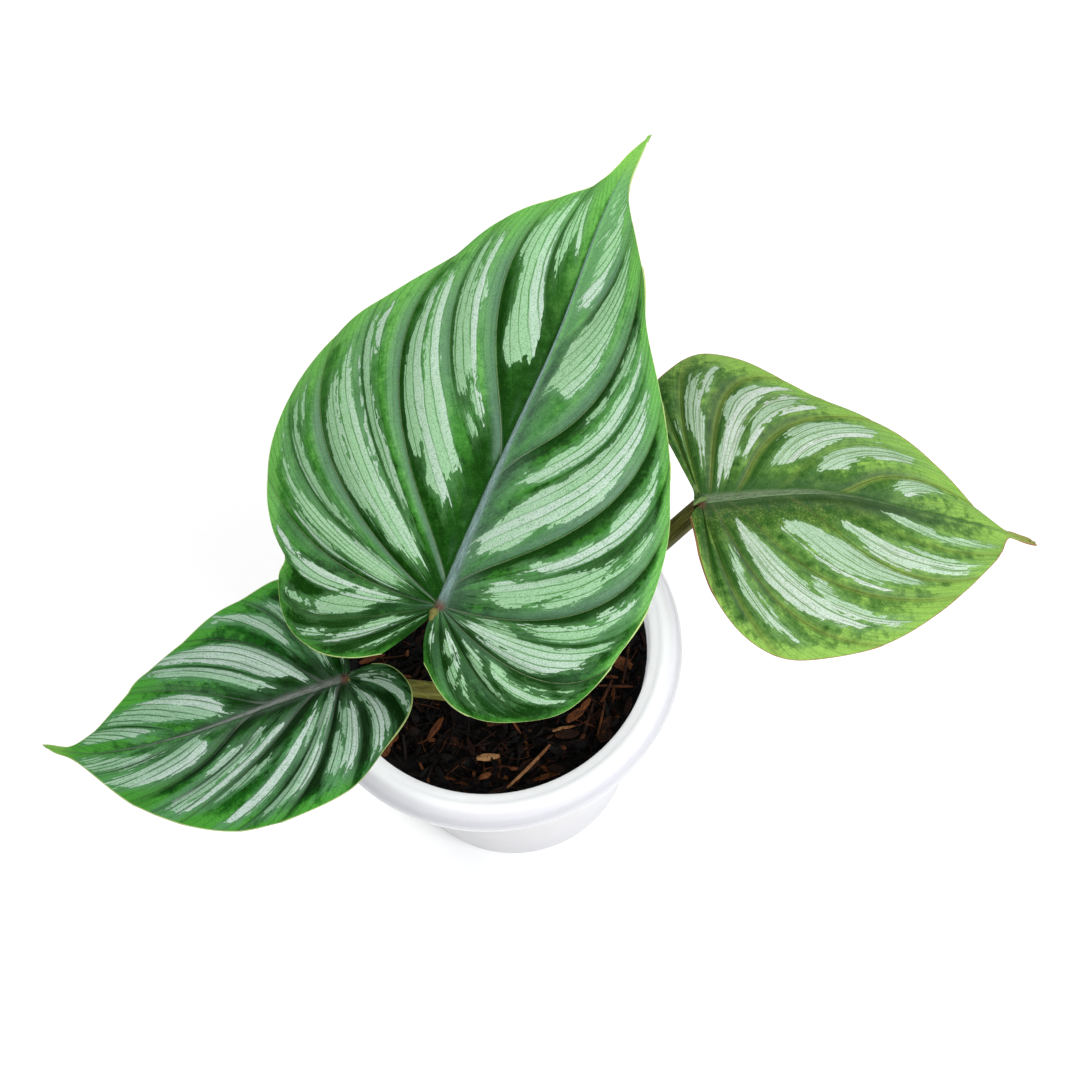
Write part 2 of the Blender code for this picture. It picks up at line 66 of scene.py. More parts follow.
backward = Vector((0, -math.cos(VIEW_ELEVATION), math.sin(VIEW_ELEVATION)))
level = Vector((1, 0, 0))
upright = backward.cross(level)
right = math.cos(VIEW_ROLL) * level - math.sin(VIEW_ROLL) * upright
upward = math.sin(VIEW_ROLL) * level + math.cos(VIEW_ROLL) * upright
lens = bpy.data.cameras.new("camera")
lens.sensor_width = 36
lens.lens = LENS
camera = bpy.data.objects.new("camera", lens)
bpy.context.scene.collection.objects.link(camera)
turn = Matrix((right, upward, backward)).transposed()
camera.matrix_world = Matrix.Translation(VIEW_FROM) @ turn.to_4x4()
bpy.context.scene.camera = camera
print("camera at", [round(v, 3) for v in VIEW_FROM])

# %% [markdown]
# ## Working by selection
#
# Edit-mode operators act on whatever is selected. These helpers open a piece with nothing
# selected and pick vertices by a rule on their place, which is what a hand would do with
# a box or a lasso.

# %% Selection helpers


def pick(*pieces):
    """Make these pieces the only selected ones and the first of them the active one."""
    bpy.ops.object.select_all(action='DESELECT')
    for piece in pieces:
        piece.select_set(True)
    if pieces:
        bpy.context.view_layer.objects.active = pieces[0]


def open_mesh(piece):
    """Enter edit mode with nothing selected."""
    pick(piece)
    bpy.ops.object.mode_set(mode='EDIT')
    bpy.ops.mesh.select_mode(type='VERT')
    bpy.ops.mesh.select_all(action='DESELECT')


def close_mesh():
    bpy.ops.object.mode_set(mode='OBJECT')


def select_where(piece, rule):
    """Select the vertices whose place passes the rule, and leave the piece in edit mode."""
    bpy.ops.mesh.select_mode(type='VERT')
    bpy.ops.mesh.select_all(action='DESELECT')
    bpy.ops.object.mode_set(mode='OBJECT')
    for corner in piece.data.vertices:
        corner.select = rule(corner.co)
    bpy.ops.object.mode_set(mode='EDIT')


def added(name):
    """Name the primitive that was just added."""
    piece = bpy.context.object
    piece.name = name
    piece.data.name = name
    return piece


def tidy_mesh(piece, weld=1e-6):
    """Weld doubles and turn every face outward."""
    open_mesh(piece)
    bpy.ops.mesh.select_all(action='SELECT')
    bpy.ops.mesh.remove_doubles(threshold=weld)
    bpy.ops.mesh.normals_make_consistent(inside=False)
    close_mesh()


def smooth(piece, angle):
    """Smooth shading across every edge that bends less than an angle in degrees."""
    pick(piece)
    bpy.ops.object.shade_smooth_by_angle(angle=math.radians(angle))


def join_all(pieces, name):
    """Join pieces into one object."""
    pick(*pieces)
    bpy.ops.object.join()
    return added(name)


def count(piece):
    triangles = sum(len(face.vertices) - 2 for face in piece.data.polygons)
    print(piece.name, "triangles:", triangles)


def dress(piece, material, slot, *nodes):
    """Give a finished piece its material, its body and the solids that it stands for."""
    if material is not None:
        piece.data.materials.clear()
        piece.data.materials.append(material)
    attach(piece, "root")
    if nodes:
        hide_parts(*nodes)
    count(piece)


# %% [markdown]
# ## Shader sums as plain Python
#
# A leaf's pattern is arithmetic on a few fields. `Wire` wraps a socket, so that
# `1 - mask * 0.5` adds the Math nodes, and `Finish` is one material with one method for
# every other node.

# %% Wires and finishes


class Wire:
    """A socket of a material. Python's operators on it add Math nodes."""

    def __init__(self, finish, socket):
        self.finish = finish
        self.socket = socket

    def maths(self, operation, *values):
        sockets = dict(enumerate(values))
        return self.finish.node('ShaderNodeMath', {"operation": operation}, sockets)

    def __add__(self, other):
        return self.maths('ADD', self, other)

    def __radd__(self, other):
        return self.maths('ADD', other, self)

    def __sub__(self, other):
        return self.maths('SUBTRACT', self, other)

    def __rsub__(self, other):
        return self.maths('SUBTRACT', other, self)

    def __mul__(self, other):
        return self.maths('MULTIPLY', self, other)

    def __rmul__(self, other):
        return self.maths('MULTIPLY', other, self)

    def __truediv__(self, other):
        return self.maths('DIVIDE', self, other)

    def zigzag(self, size):
        """Distance to the nearest whole number, as a wave between 0 and size."""
        return self.maths('PINGPONG', self, size)

    def most(self, other):
        return self.maths('MAXIMUM', self, other)

    def ramp(self, start, end, low=0.0, high=1.0):
        """Low before start, high after end, and a soft step between them."""
        places = {1: start, 2: end, 3: low, 4: high}
        if start > end:
            places = {1: end, 2: start, 3: high, 4: low}
        setting = {"interpolation_type": 'SMOOTHSTEP'}
        return self.finish.node('ShaderNodeMapRange', setting, {0: self, **places})


class Finish:
    """One new material with its Principled shader."""

    def __init__(self, name):
        self.material = bpy.data.materials.new(name)
        self.material.use_nodes = True
        self.tree = self.material.node_tree
        self.shader = self.tree.nodes["Principled BSDF"]

    def node(self, kind, settings=None, sockets=None, output=0):
        """Add a node: its settings first, then its sockets' values or wires."""
        made = self.tree.nodes.new(kind)
        for name, value in (settings or {}).items():
            setattr(made, name, value)
        for name, value in (sockets or {}).items():
            self.feed(made.inputs[name], value)
        return Wire(self, made.outputs[output])

    def feed(self, socket, value):
        if isinstance(value, Wire):
            self.tree.links.new(value.socket, socket)
        else:
            socket.default_value = value

    def set(self, **sockets):
        """Feed the Principled shader, with spaces for the underscores of its socket names."""
        for name, value in sockets.items():
            self.feed(self.shader.inputs[name.replace("_", " ")], value)

    def attribute(self, name):
        return self.node('ShaderNodeAttribute', {"attribute_name": name}, output=2)

    def place(self):
        return self.node('ShaderNodeTexCoord', output=3)

    def split(self, vector):
        """The three parts of a vector."""
        parts = []
        for axis in range(3):
            parts.append(self.node('ShaderNodeSeparateXYZ', None, {0: vector}, output=axis))
        return parts

    def along(self, x, y, z=0.0):
        """A vector from three fields, so that a pattern can be stretched along one of them."""
        return self.node('ShaderNodeCombineXYZ', None, {0: x, 1: y, 2: z})

    def noise(self, vector, scale=1.0, detail=2.0, rough=0.5):
        sockets = {"Vector": vector, "Scale": scale, "Detail": detail, "Roughness": rough}
        return self.node('ShaderNodeTexNoise', None, sockets)

    def blend(self, share, first, second):
        """A colour mixed from two, each a wire or (red, green, blue)."""
        colours = {}
        for socket, colour in ((6, first), (7, second)):
            colours[socket] = colour if isinstance(colour, Wire) else (*colour, 1.0)
        return self.node('ShaderNodeMix', {"data_type": 'RGBA'}, {0: share, **colours}, output=2)

    def bump(self, height, depth, strength=1.0):
        """A normal from a height of 0 to 1, with the depth of a full step in metres."""
        sockets = {"Strength": strength, "Distance": depth, "Height": height}
        return self.node('ShaderNodeBump', None, sockets)


print("shader helpers ready")

# %% [markdown]
# ## White moulded plastic
#
# The pot is satin polypropylene, a little translucent, so its grooves fill with light. Its
# mouth, with the ledge and the inner slope of the roll, is painted lighter and given a faint
# glow, painted light that lifts its shade. A bare white would look like paint. Here the
# roughness is broken by faint handling marks, grit lies in the corner of the ledge,
# watering leaves a thin film inside, and the wall under the roll is painted grey as
# painted shade.

# %% Pot finish


def white_plastic():
    made = Finish("white_plastic")
    place = made.place()
    parts = made.split(place)
    across = made.node('ShaderNodeVectorMath', {"operation": 'LENGTH'},
                       {0: made.along(parts[0], parts[1])}, output=1)
    cloud = made.noise(place, 45.0, 4.0, 0.6)
    fine = made.noise(place, 900.0, 2.0)
    speck = made.noise(place, 420.0, 3.0, 0.7)
    mark = across.ramp(0.0523, 0.0527) * across.ramp(0.0532, 0.0528)
    mark = mark * parts[2].ramp(0.0935, 0.0950) * speck.ramp(0.48, 0.72)
    inside = parts[2].ramp(0.0940, 0.0905) * across.ramp(0.0515, 0.0500)
    inside = inside * parts[2].ramp(0.02, 0.05)
    colour = made.blend(cloud.ramp(0.35, 0.75), (0.61, 0.61, 0.64), (0.585, 0.585, 0.62))
    colour = made.blend(mark * 0.25, colour, (0.45, 0.42, 0.38))
    colour = made.blend(inside * (cloud * 0.30), colour, (0.55, 0.48, 0.40))
    scuff = made.noise(made.along(parts[0] * 40, parts[1] * 40, parts[2] * 260), 1.0, 5.0, 0.65)
    # Painted light: the mouth is painted near white and glows faintly, which lifts its shade.
    mouth = across.ramp(0.0575, 0.0545) * parts[2].ramp(0.080, 0.090)
    colour = made.blend(mouth * 0.8, colour, (0.80, 0.80, 0.82))
    # Painted shade: the outer side of the roll and its lip are painted greyer.
    painted_skirt_shade = across.ramp(0.0550, 0.0565) * parts[2].ramp(0.0955, 0.0915) * parts[2].ramp(0.078, 0.082)
    colour = made.blend(painted_skirt_shade, colour, (0.42, 0.42, 0.455))
    painted_glow = made.blend(mouth, (0, 0, 0), (0.93, 0.93, 1.0))
    made.set(Base_Color=colour, Roughness=0.30 + scuff * 0.22, IOR=1.49,
             Emission_Color=painted_glow, Emission_Strength=0.23,
             Subsurface_Weight=0.8, Subsurface_Radius=(1.0, 1.0, 1.0), Subsurface_Scale=0.008,
             Normal=made.bump(fine * 0.3 + scuff * 0.7, 0.00006))
    return made.material


plastic = white_plastic()
print("finish:", plastic.name)

# %% [markdown]
# ## The pot
#
# The real pot is one injection moulding: a tapered cup, a flat ledge round the mouth, a
# rim that rolls over and down, and a thin lip. It could be spun from a profile. Here one
# ring of vertices is extruded and resized from station to station, which gives the same
# turned form and leaves every ring where its radius is easy to read.

# %% Pot profile
POT_SIDES = 128
TAPER = math.tan(math.radians(8.4))
WALL = 1.8
FLOOR = 2.5
LEDGE = 95.2
MOUTH = 50.0
RIM_TOP = 96.0


def wall_radius(height):
    """Radius of the inner wall at a height, in millimetres."""
    return MOUTH - TAPER * (LEDGE - height)


def arc(centre, radii, first, last, steps):
    """Stations (radius, height) along an elliptical arc, with angles in degrees."""
    turns = np.radians(np.linspace(first, last, steps))
    return [(centre[0] + radii[0] * math.cos(a), centre[1] + radii[1] * math.sin(a)) for a in turns]


outside = wall_radius(0) + WALL
profile = [(outside - 1.4, 0.0), (outside - 0.45, 0.35), (outside, 1.3)]
profile += [(wall_radius(h) + WALL, h) for h in (30.0, 60.0, 85.0, 92.0)]
profile += arc((wall_radius(93.4) + WALL + 1.0, 92.4), (0.9, 1.0), 180, 90, 4)
profile += [(55.4, 93.4)] + arc((55.8, 91.6), (1.3, 1.7), 85, 10, 5)
profile += [(57.6, 88.9), (58.1, 88.15), (59.6, 88.1)]
profile += arc((59.75, 88.5), (0.25, 0.38), -60, 80, 5)
profile += [(59.2, 89.0), (58.85, 89.25), (58.68, 89.8)]
profile += arc((54.5, 89.9), (4.1, RIM_TOP - 89.9), 8, 90, 11)
profile += arc((54.3, LEDGE + 0.1), (1.3, 0.7), 105, 172, 4)
profile += [(52.7, LEDGE - 0.02), (51.6, LEDGE)] + arc((50.5, LEDGE - 0.5), (0.5, 0.5), 85, 180, 5)
profile += [(wall_radius(h), h) for h in (92.0, 84.0, 50.0, 6.0)]
profile += [(wall_radius(FLOOR) - 0.5, FLOOR + 0.8), (wall_radius(FLOOR) - 1.5, FLOOR)]
print("pot stations:", len(profile))

# %% Pot, extruded ring by ring


def turned_piece(name, stations, sides):
    """Extrude a ring upward through stations (radius, height) and cap both its ends."""
    radius, height = stations[0]
    pick()
    bpy.ops.mesh.primitive_circle_add(vertices=sides, radius=radius * MM)
    piece = added(name)
    open_mesh(piece)
    bpy.ops.mesh.select_all(action='SELECT')
    bpy.ops.transform.translate(value=(0, 0, height * MM))
    bpy.ops.mesh.edge_face_add()
    bpy.ops.mesh.select_mode(type='EDGE')
    for station in stations[1:]:
        climb = {"value": (0, 0, (station[1] - height) * MM)}
        bpy.ops.mesh.extrude_region_move(TRANSFORM_OT_translate=climb)
        size = station[0] / radius
        bpy.ops.transform.resize(value=(size, size, 1), center_override=(0, 0, station[1] * MM))
        radius, height = station
    close_mesh()
    return piece


pot = turned_piece("white_pot", profile, POT_SIDES)
count(pot)

# %% Drain holes
DRAIN_HOLES = 6
DRAIN_RADIUS = 3.5
DRAIN_CIRCLE = 24.0


def cut_holes(piece):
    """Drill the ring of drain holes with one Boolean."""
    pick()
    drills = []
    for hole in range(DRAIN_HOLES):
        angle = 2 * math.pi * (hole + 0.5) / DRAIN_HOLES
        centre = (DRAIN_CIRCLE * math.cos(angle) * MM, DRAIN_CIRCLE * math.sin(angle) * MM, 0)
        bpy.ops.mesh.primitive_cylinder_add(vertices=32, radius=DRAIN_RADIUS * MM, depth=0.012,
                                            location=centre)
        drills.append(bpy.context.object)
    for drill in drills:
        drill.select_set(True)
    bpy.ops.object.join()
    cutter = bpy.context.object
    cut = piece.modifiers.new("drain", 'BOOLEAN')
    cut.object = cutter
    cut.operation = 'DIFFERENCE'
    bpy.context.view_layer.objects.active = piece
    bpy.ops.object.modifier_apply(modifier=cut.name)
    bpy.data.objects.remove(cutter)


tidy_mesh(pot)
cut_holes(pot)
smooth(pot, 50)
dress(pot, plastic, "white_plastic", "pot")

# %% [markdown]
# ## Bark and coir finish
#
# The mix is nearly black where it is wet, with red-brown bark chips and tan coir fibres on
# top; its near-black body is partly its wet colour and partly painted shade in the deep gaps.
# Every chip and fibre carries its own shade as an attribute, and the shader turns that into
# a brown and adds the grain.

# %% Mix finishes


def bark_finish(name, grain, damp):
    """Wood browns from each piece's own shade, from near black to tan."""
    made = Finish(name)
    place = made.place()
    shade = made.attribute("shade")
    cloud = made.noise(place, 260.0, 4.0, 0.6)
    lines = made.noise(place, grain, 3.0, 0.6)
    tone = shade + (cloud - 0.5) * 0.55 + (lines - 0.5) * 0.45
    colour = made.blend(tone.ramp(0.10, 0.50), (0.0010, 0.0003, 0.0004), (0.016, 0.0055, 0.0035))
    colour = made.blend(tone.ramp(0.46, 0.76), colour, (0.125, 0.040, 0.013))
    colour = made.blend(tone.ramp(0.74, 1.05), colour, (0.38, 0.20, 0.090))
    made.set(Base_Color=colour, Roughness=damp + cloud * 0.35, Specular_IOR_Level=0.12,
             Normal=made.bump(lines * 0.6 + cloud * 0.4, 0.0007))
    return made.material


bark = bark_finish("dark_bark", 1300.0, 0.42)
coir = bark_finish("coir", 2600.0, 0.5)
print("finishes:", bark.name, coir.name)

# %% [markdown]
# ## The potting mix
#
# The body of the mix fills the pot to a few millimetres below the ledge. It could be a
# flat disc with a bump map, but the surface is seen at a slant beside the white wall, so
# it is a turned block whose top is rings of vertices lifted by three sizes of noise.

# %% Mix body
SOIL_TOP = 89.5
MIX_SIDES = 220
MIX_RINGS = 64
MIX_GAP = 0.4
CROWN = Vector((-3.5, -17.1, 93.0))
STEM_RADIUS = 5.6


def soil_height(x, y):
    """Height of the loose surface at a place, in millimetres."""
    bumps = noise.noise(Vector((x / 9.0, y / 9.0, 3.7)))
    bumps += 0.5 * noise.noise(Vector((x / 4.0, y / 4.0, 8.1)))
    return SOIL_TOP + bumps - 1.2 * (math.hypot(x, y) / MOUTH) ** 4


def set_shade(piece, value):
    """One shade for a whole piece."""
    shades = piece.data.attributes.new("shade", 'FLOAT', 'POINT')
    shades.data.foreach_set("value", [value] * len(piece.data.vertices))


def make_mix():
    edge = wall_radius(SOIL_TOP) - MIX_GAP
    low = FLOOR + 0.35
    stations = [(wall_radius(low) - 2.0, low), (wall_radius(low + 1.5) - MIX_GAP, low + 1.5)]
    stations += [(wall_radius(h) - MIX_GAP, h) for h in (40.0, 82.0, 87.0)]
    stations += [(edge * (MIX_RINGS - ring) / MIX_RINGS, SOIL_TOP) for ring in range(MIX_RINGS)]
    piece = turned_piece("potting_mix_body", stations, MIX_SIDES)
    for corner in piece.data.vertices:
        x, y, z = (axis / MM for axis in corner.co)
        if z > SOIL_TOP - 0.1:
            grit = noise.noise(Vector((x / 1.6, y / 1.6, 1.3)))
            grit += 0.6 * noise.noise(Vector((x / 0.7, y / 0.7, 5.0)))
            hollow = max(0.0, noise.noise(Vector((x / 5.0, y / 5.0, 20.0)))) * 2.2
            corner.co.z = (soil_height(x, y) + 0.75 * grit - hollow - 0.6) * MM
    tidy_mesh(piece)
    # Near black: partly the wet mix's own colour, partly painted shade in the gaps between chips.
    set_shade(piece, 0.02)
    smooth(piece, 60)
    return piece


mix = make_mix()
dress(mix, bark, "dark_bark", "potting_mix")

# %% [markdown]
# ## Chips and fibres
#
# Milled bark breaks into flat splinters with ragged ends, and coir adds long curved
# fibres. One chip of each kind is modelled by hand, cut, tapered and roughened. The few
# large ones that catch the eye are laid by place, and the rest is scattered by a seeded
# draw. All are joined, each with its own shade.

# %% Bark chips
CHIP_SEED = 5
CHIPS = 1150
MIDDLE_REACH = 48.5
END_REACH = 48.6
# Each is its place, heading in degrees, length, width and shade.
LAID_CHIPS = [
    (-7.2, -35.5, -6, 7.0, 2.2, 0.92), (30.5, -31.8, 44, 6.0, 2.8, 0.50),
    (22.0, -27.0, 28, 7.2, 2.6, 0.66), (18.2, -32.6, -7, 7.5, 3.0, 0.44),
    (17.5, -30.6, 2, 7.0, 1.0, 0.84), (29.7, -35.3, 30, 5.0, 3.6, 0.52),
    (38.5, -27.0, 62, 6.5, 1.8, 0.46), (-1.5, -24.5, 4, 9.5, 2.2, 0.52),
    (5.0, -40.5, 20, 7.0, 3.2, 0.42), (-9.0, -41.5, 12, 4.0, 1.6, 0.72),
    (25.5, -24.5, 40, 5.0, 1.6, 0.74), (13.0, -43.0, -20, 5.5, 2.4, 0.36)]


def model_chip(name, length, width, depth, seed):
    """A splinter that narrows to both ends, with a torn outline."""
    pick()
    bpy.ops.mesh.primitive_cube_add(size=1)
    chip = added(name)
    open_mesh(chip)
    bpy.ops.mesh.select_all(action='SELECT')
    bpy.ops.transform.resize(value=(length * MM, width * MM, depth * MM))
    bpy.ops.mesh.subdivide(number_cuts=2)
    close_mesh()
    for end in (-1, 1):
        open_mesh(chip)
        select_where(chip, lambda place: place.x * end > 0.45 * length * MM)
        bpy.ops.transform.resize(value=(1, 0.45, 0.5), center_override=(end * length * MM / 2, 0, 0))
        close_mesh()
    open_mesh(chip)
    bpy.ops.mesh.select_all(action='SELECT')
    bpy.ops.transform.vertex_random(offset=0.1 * width * MM, seed=seed)
    close_mesh()
    return chip


def copy_of(model, matrix, shade):
    """A copy with its own mesh, placed in that mesh, and with its own shade."""
    piece = model.copy()
    piece.data = model.data.copy()
    bpy.context.scene.collection.objects.link(piece)
    piece.data.transform(matrix)
    set_shade(piece, shade)
    return piece


def free_place(rng, reach, turn):
    """A middle for a piece of a half length and a heading, clear of the wall and the stem."""
    tip = Vector((reach * math.cos(turn), reach * math.sin(turn), 0))
    while True:
        distance = MIDDLE_REACH * math.sqrt(rng.random())
        angle = rng.uniform(0, 2 * math.pi)
        middle = Vector((distance * math.cos(angle), distance * math.sin(angle), 0))
        ends = [(middle + tip).length, (middle - tip).length]
        stem = math.hypot(middle.x - CROWN.x, middle.y - CROWN.y)
        if max(ends) < END_REACH and stem > STEM_RADIUS + 1 + reach * 0.6:
            return middle


def scatter_chips():
    rng = random.Random(CHIP_SEED)
    models = [(model_chip("splinter", 9, 1.7, 0.9, 1), 4.5), (model_chip("flake", 6, 3.0, 0.7, 2), 3.0),
              (model_chip("nugget", 4, 2.4, 1.7, 3), 2.0), (model_chip("sliver", 12, 1.1, 0.7, 4), 6.0),
              (model_chip("crumb", 2.6, 1.3, 0.9, 5), 1.3)]
    kinds = (0, 0, 0, 1, 1, 2, 3, 3, 4, 4, 4)
    shades = (0.0, 0.04, 0.08, 0.12, 0.16, 0.22, 0.28, 0.36, 0.48, 0.66)
    pieces = []
    for x, y, turn, length, width, shade in LAID_CHIPS:
        place = Vector((x, y, soil_height(x, y) + 1.2)) * MM
        grow = Matrix.Diagonal((length / 6, width / 3, 1.3, 1))
        spin = Matrix.Rotation(math.radians(turn), 4, 'Z')
        pieces.append(copy_of(models[1][0], Matrix.Translation(place) @ spin @ grow, shade))
    for _ in range(CHIPS):
        model, half = models[rng.choice(kinds)]
        size = rng.uniform(0.55, 1.25)
        turn = rng.uniform(0, 2 * math.pi)
        middle = free_place(rng, half * size, turn)
        middle.z = soil_height(middle.x, middle.y) + rng.uniform(-1.5, 0.8)
        spin = Matrix.Rotation(turn, 4, 'Z')
        tip = Matrix.Rotation(rng.gauss(0, 0.20), 4, 'Y') @ Matrix.Rotation(rng.gauss(0, 0.7), 4, 'X')
        grow = Matrix.Diagonal((size, size * rng.uniform(0.6, 1.2), size, 1))
        shade = rng.choice(shades) + rng.uniform(-0.05, 0.05)
        pieces.append(copy_of(model, Matrix.Translation(middle * MM) @ spin @ tip @ grow, shade))
    for model, _ in models:
        bpy.data.objects.remove(model)
    return join_all(pieces, "bark_chips")


chips = scatter_chips()
tidy_mesh(chips, 1e-7)
smooth(chips, 30)
dress(chips, bark, "dark_bark")

# %% Coir fibres
FIBRE_SEED = 9
FIBRES = 420
FIBRE_CUTS = 8
# Each is its place, heading in degrees, length, radius and shade.
LAID_FIBRES = [
    (5.0, -41.5, 36, 19.0, 0.62, 0.86), (35.2, -20.2, -14, 12.5, 0.50, 0.58),
    (33.0, -21.5, 55, 8.0, 0.65, 0.52), (29.8, -30.0, 68, 12.0, 0.42, 0.60),
    (40.5, -14.0, 70, 13.0, 0.45, 0.50)]


def model_fibre():
    """A straight fibre of unit length along X, with cuts to bend at."""
    pick()
    bpy.ops.mesh.primitive_cylinder_add(vertices=5, radius=1, depth=1, rotation=(0, math.pi / 2, 0))
    fibre = added("fibre")
    bpy.ops.object.transform_apply(location=True, rotation=True, scale=True)
    for step in range(1, FIBRE_CUTS + 1):
        open_mesh(fibre)
        bpy.ops.mesh.select_all(action='SELECT')
        bpy.ops.mesh.bisect(plane_co=(step / (FIBRE_CUTS + 1) - 0.5, 0, 0), plane_no=(1, 0, 0))
        close_mesh()
    return fibre


def bent(piece, length, radius, curl, climb, wave):
    """Bend a straight fibre into an arc that also dips, all sizes in millimetres."""
    for corner in piece.data.vertices:
        along = corner.co.x
        taper = 1.0 - 1.2 * along ** 2
        angle = curl * along
        reach = length * (math.sin(angle) / curl if abs(curl) > 1e-3 else along)
        swing = length * ((1 - math.cos(angle)) / curl if abs(curl) > 1e-3 else 0.0)
        side = radius * taper * corner.co.y
        rise = radius * taper * corner.co.z + climb * along + wave * math.cos(math.pi * along)
        corner.co = Vector((reach - side * math.sin(angle), swing + side * math.cos(angle), rise)) * MM


def scatter_fibres():
    rng = random.Random(FIBRE_SEED)
    model = model_fibre()
    pieces = []
    for _ in range(FIBRES):
        length = rng.choice((5, 8, 11, 15, 20)) * rng.uniform(0.8, 1.2)
        radius = rng.choice((0.12, 0.18, 0.28)) * rng.uniform(0.8, 1.3)
        turn = rng.uniform(0, 2 * math.pi)
        middle = free_place(rng, length / 2 + 0.5, turn)
        middle.z = soil_height(middle.x, middle.y) + rng.uniform(-0.5, 0.9)
        shade = rng.choice((0.08, 0.18, 0.30, 0.42, 0.58)) + rng.uniform(-0.05, 0.05)
        piece = copy_of(model, Matrix.Identity(4), shade)
        bent(piece, length, radius, rng.gauss(0, 0.7), rng.gauss(0, 0.8), rng.uniform(-0.2, 0.9))
        piece.data.transform(Matrix.Translation(middle * MM) @ Matrix.Rotation(turn, 4, 'Z'))
        pieces.append(piece)
    for x, y, turn, length, radius, shade in LAID_FIBRES:
        piece = copy_of(model, Matrix.Identity(4), shade)
        bent(piece, length, radius, 0.15, 0.4, 0.3)
        place = Vector((x, y, soil_height(x, y) + 1.9)) * MM
        piece.data.transform(Matrix.Translation(place) @ Matrix.Rotation(math.radians(turn), 4, 'Z'))
        pieces.append(piece)
    bpy.data.objects.remove(model)
    return join_all(pieces, "coir_fibres")


fibres = scatter_fibres()
tidy_mesh(fibres, 1e-7)
smooth(fibres, 60)
dress(fibres, coir, "dark_bark")

# %% [markdown]
# ## Leaves: the guides
#
# Each blade is a heart with a notch at the stalk. Its veins leave the midrib and sweep
# toward the margin, so the veins are the natural guides for its mesh, its relief and its
# markings alike. A place on a half blade is given by a vein count, which runs from the
# edge of the notch to the tip, and a share of the way from the midrib to the margin.
# Outlines and veins are in millimetres along and across the blade. A vein is its start
# on the midrib, the point that it bows toward, its end on the margin and its depth.

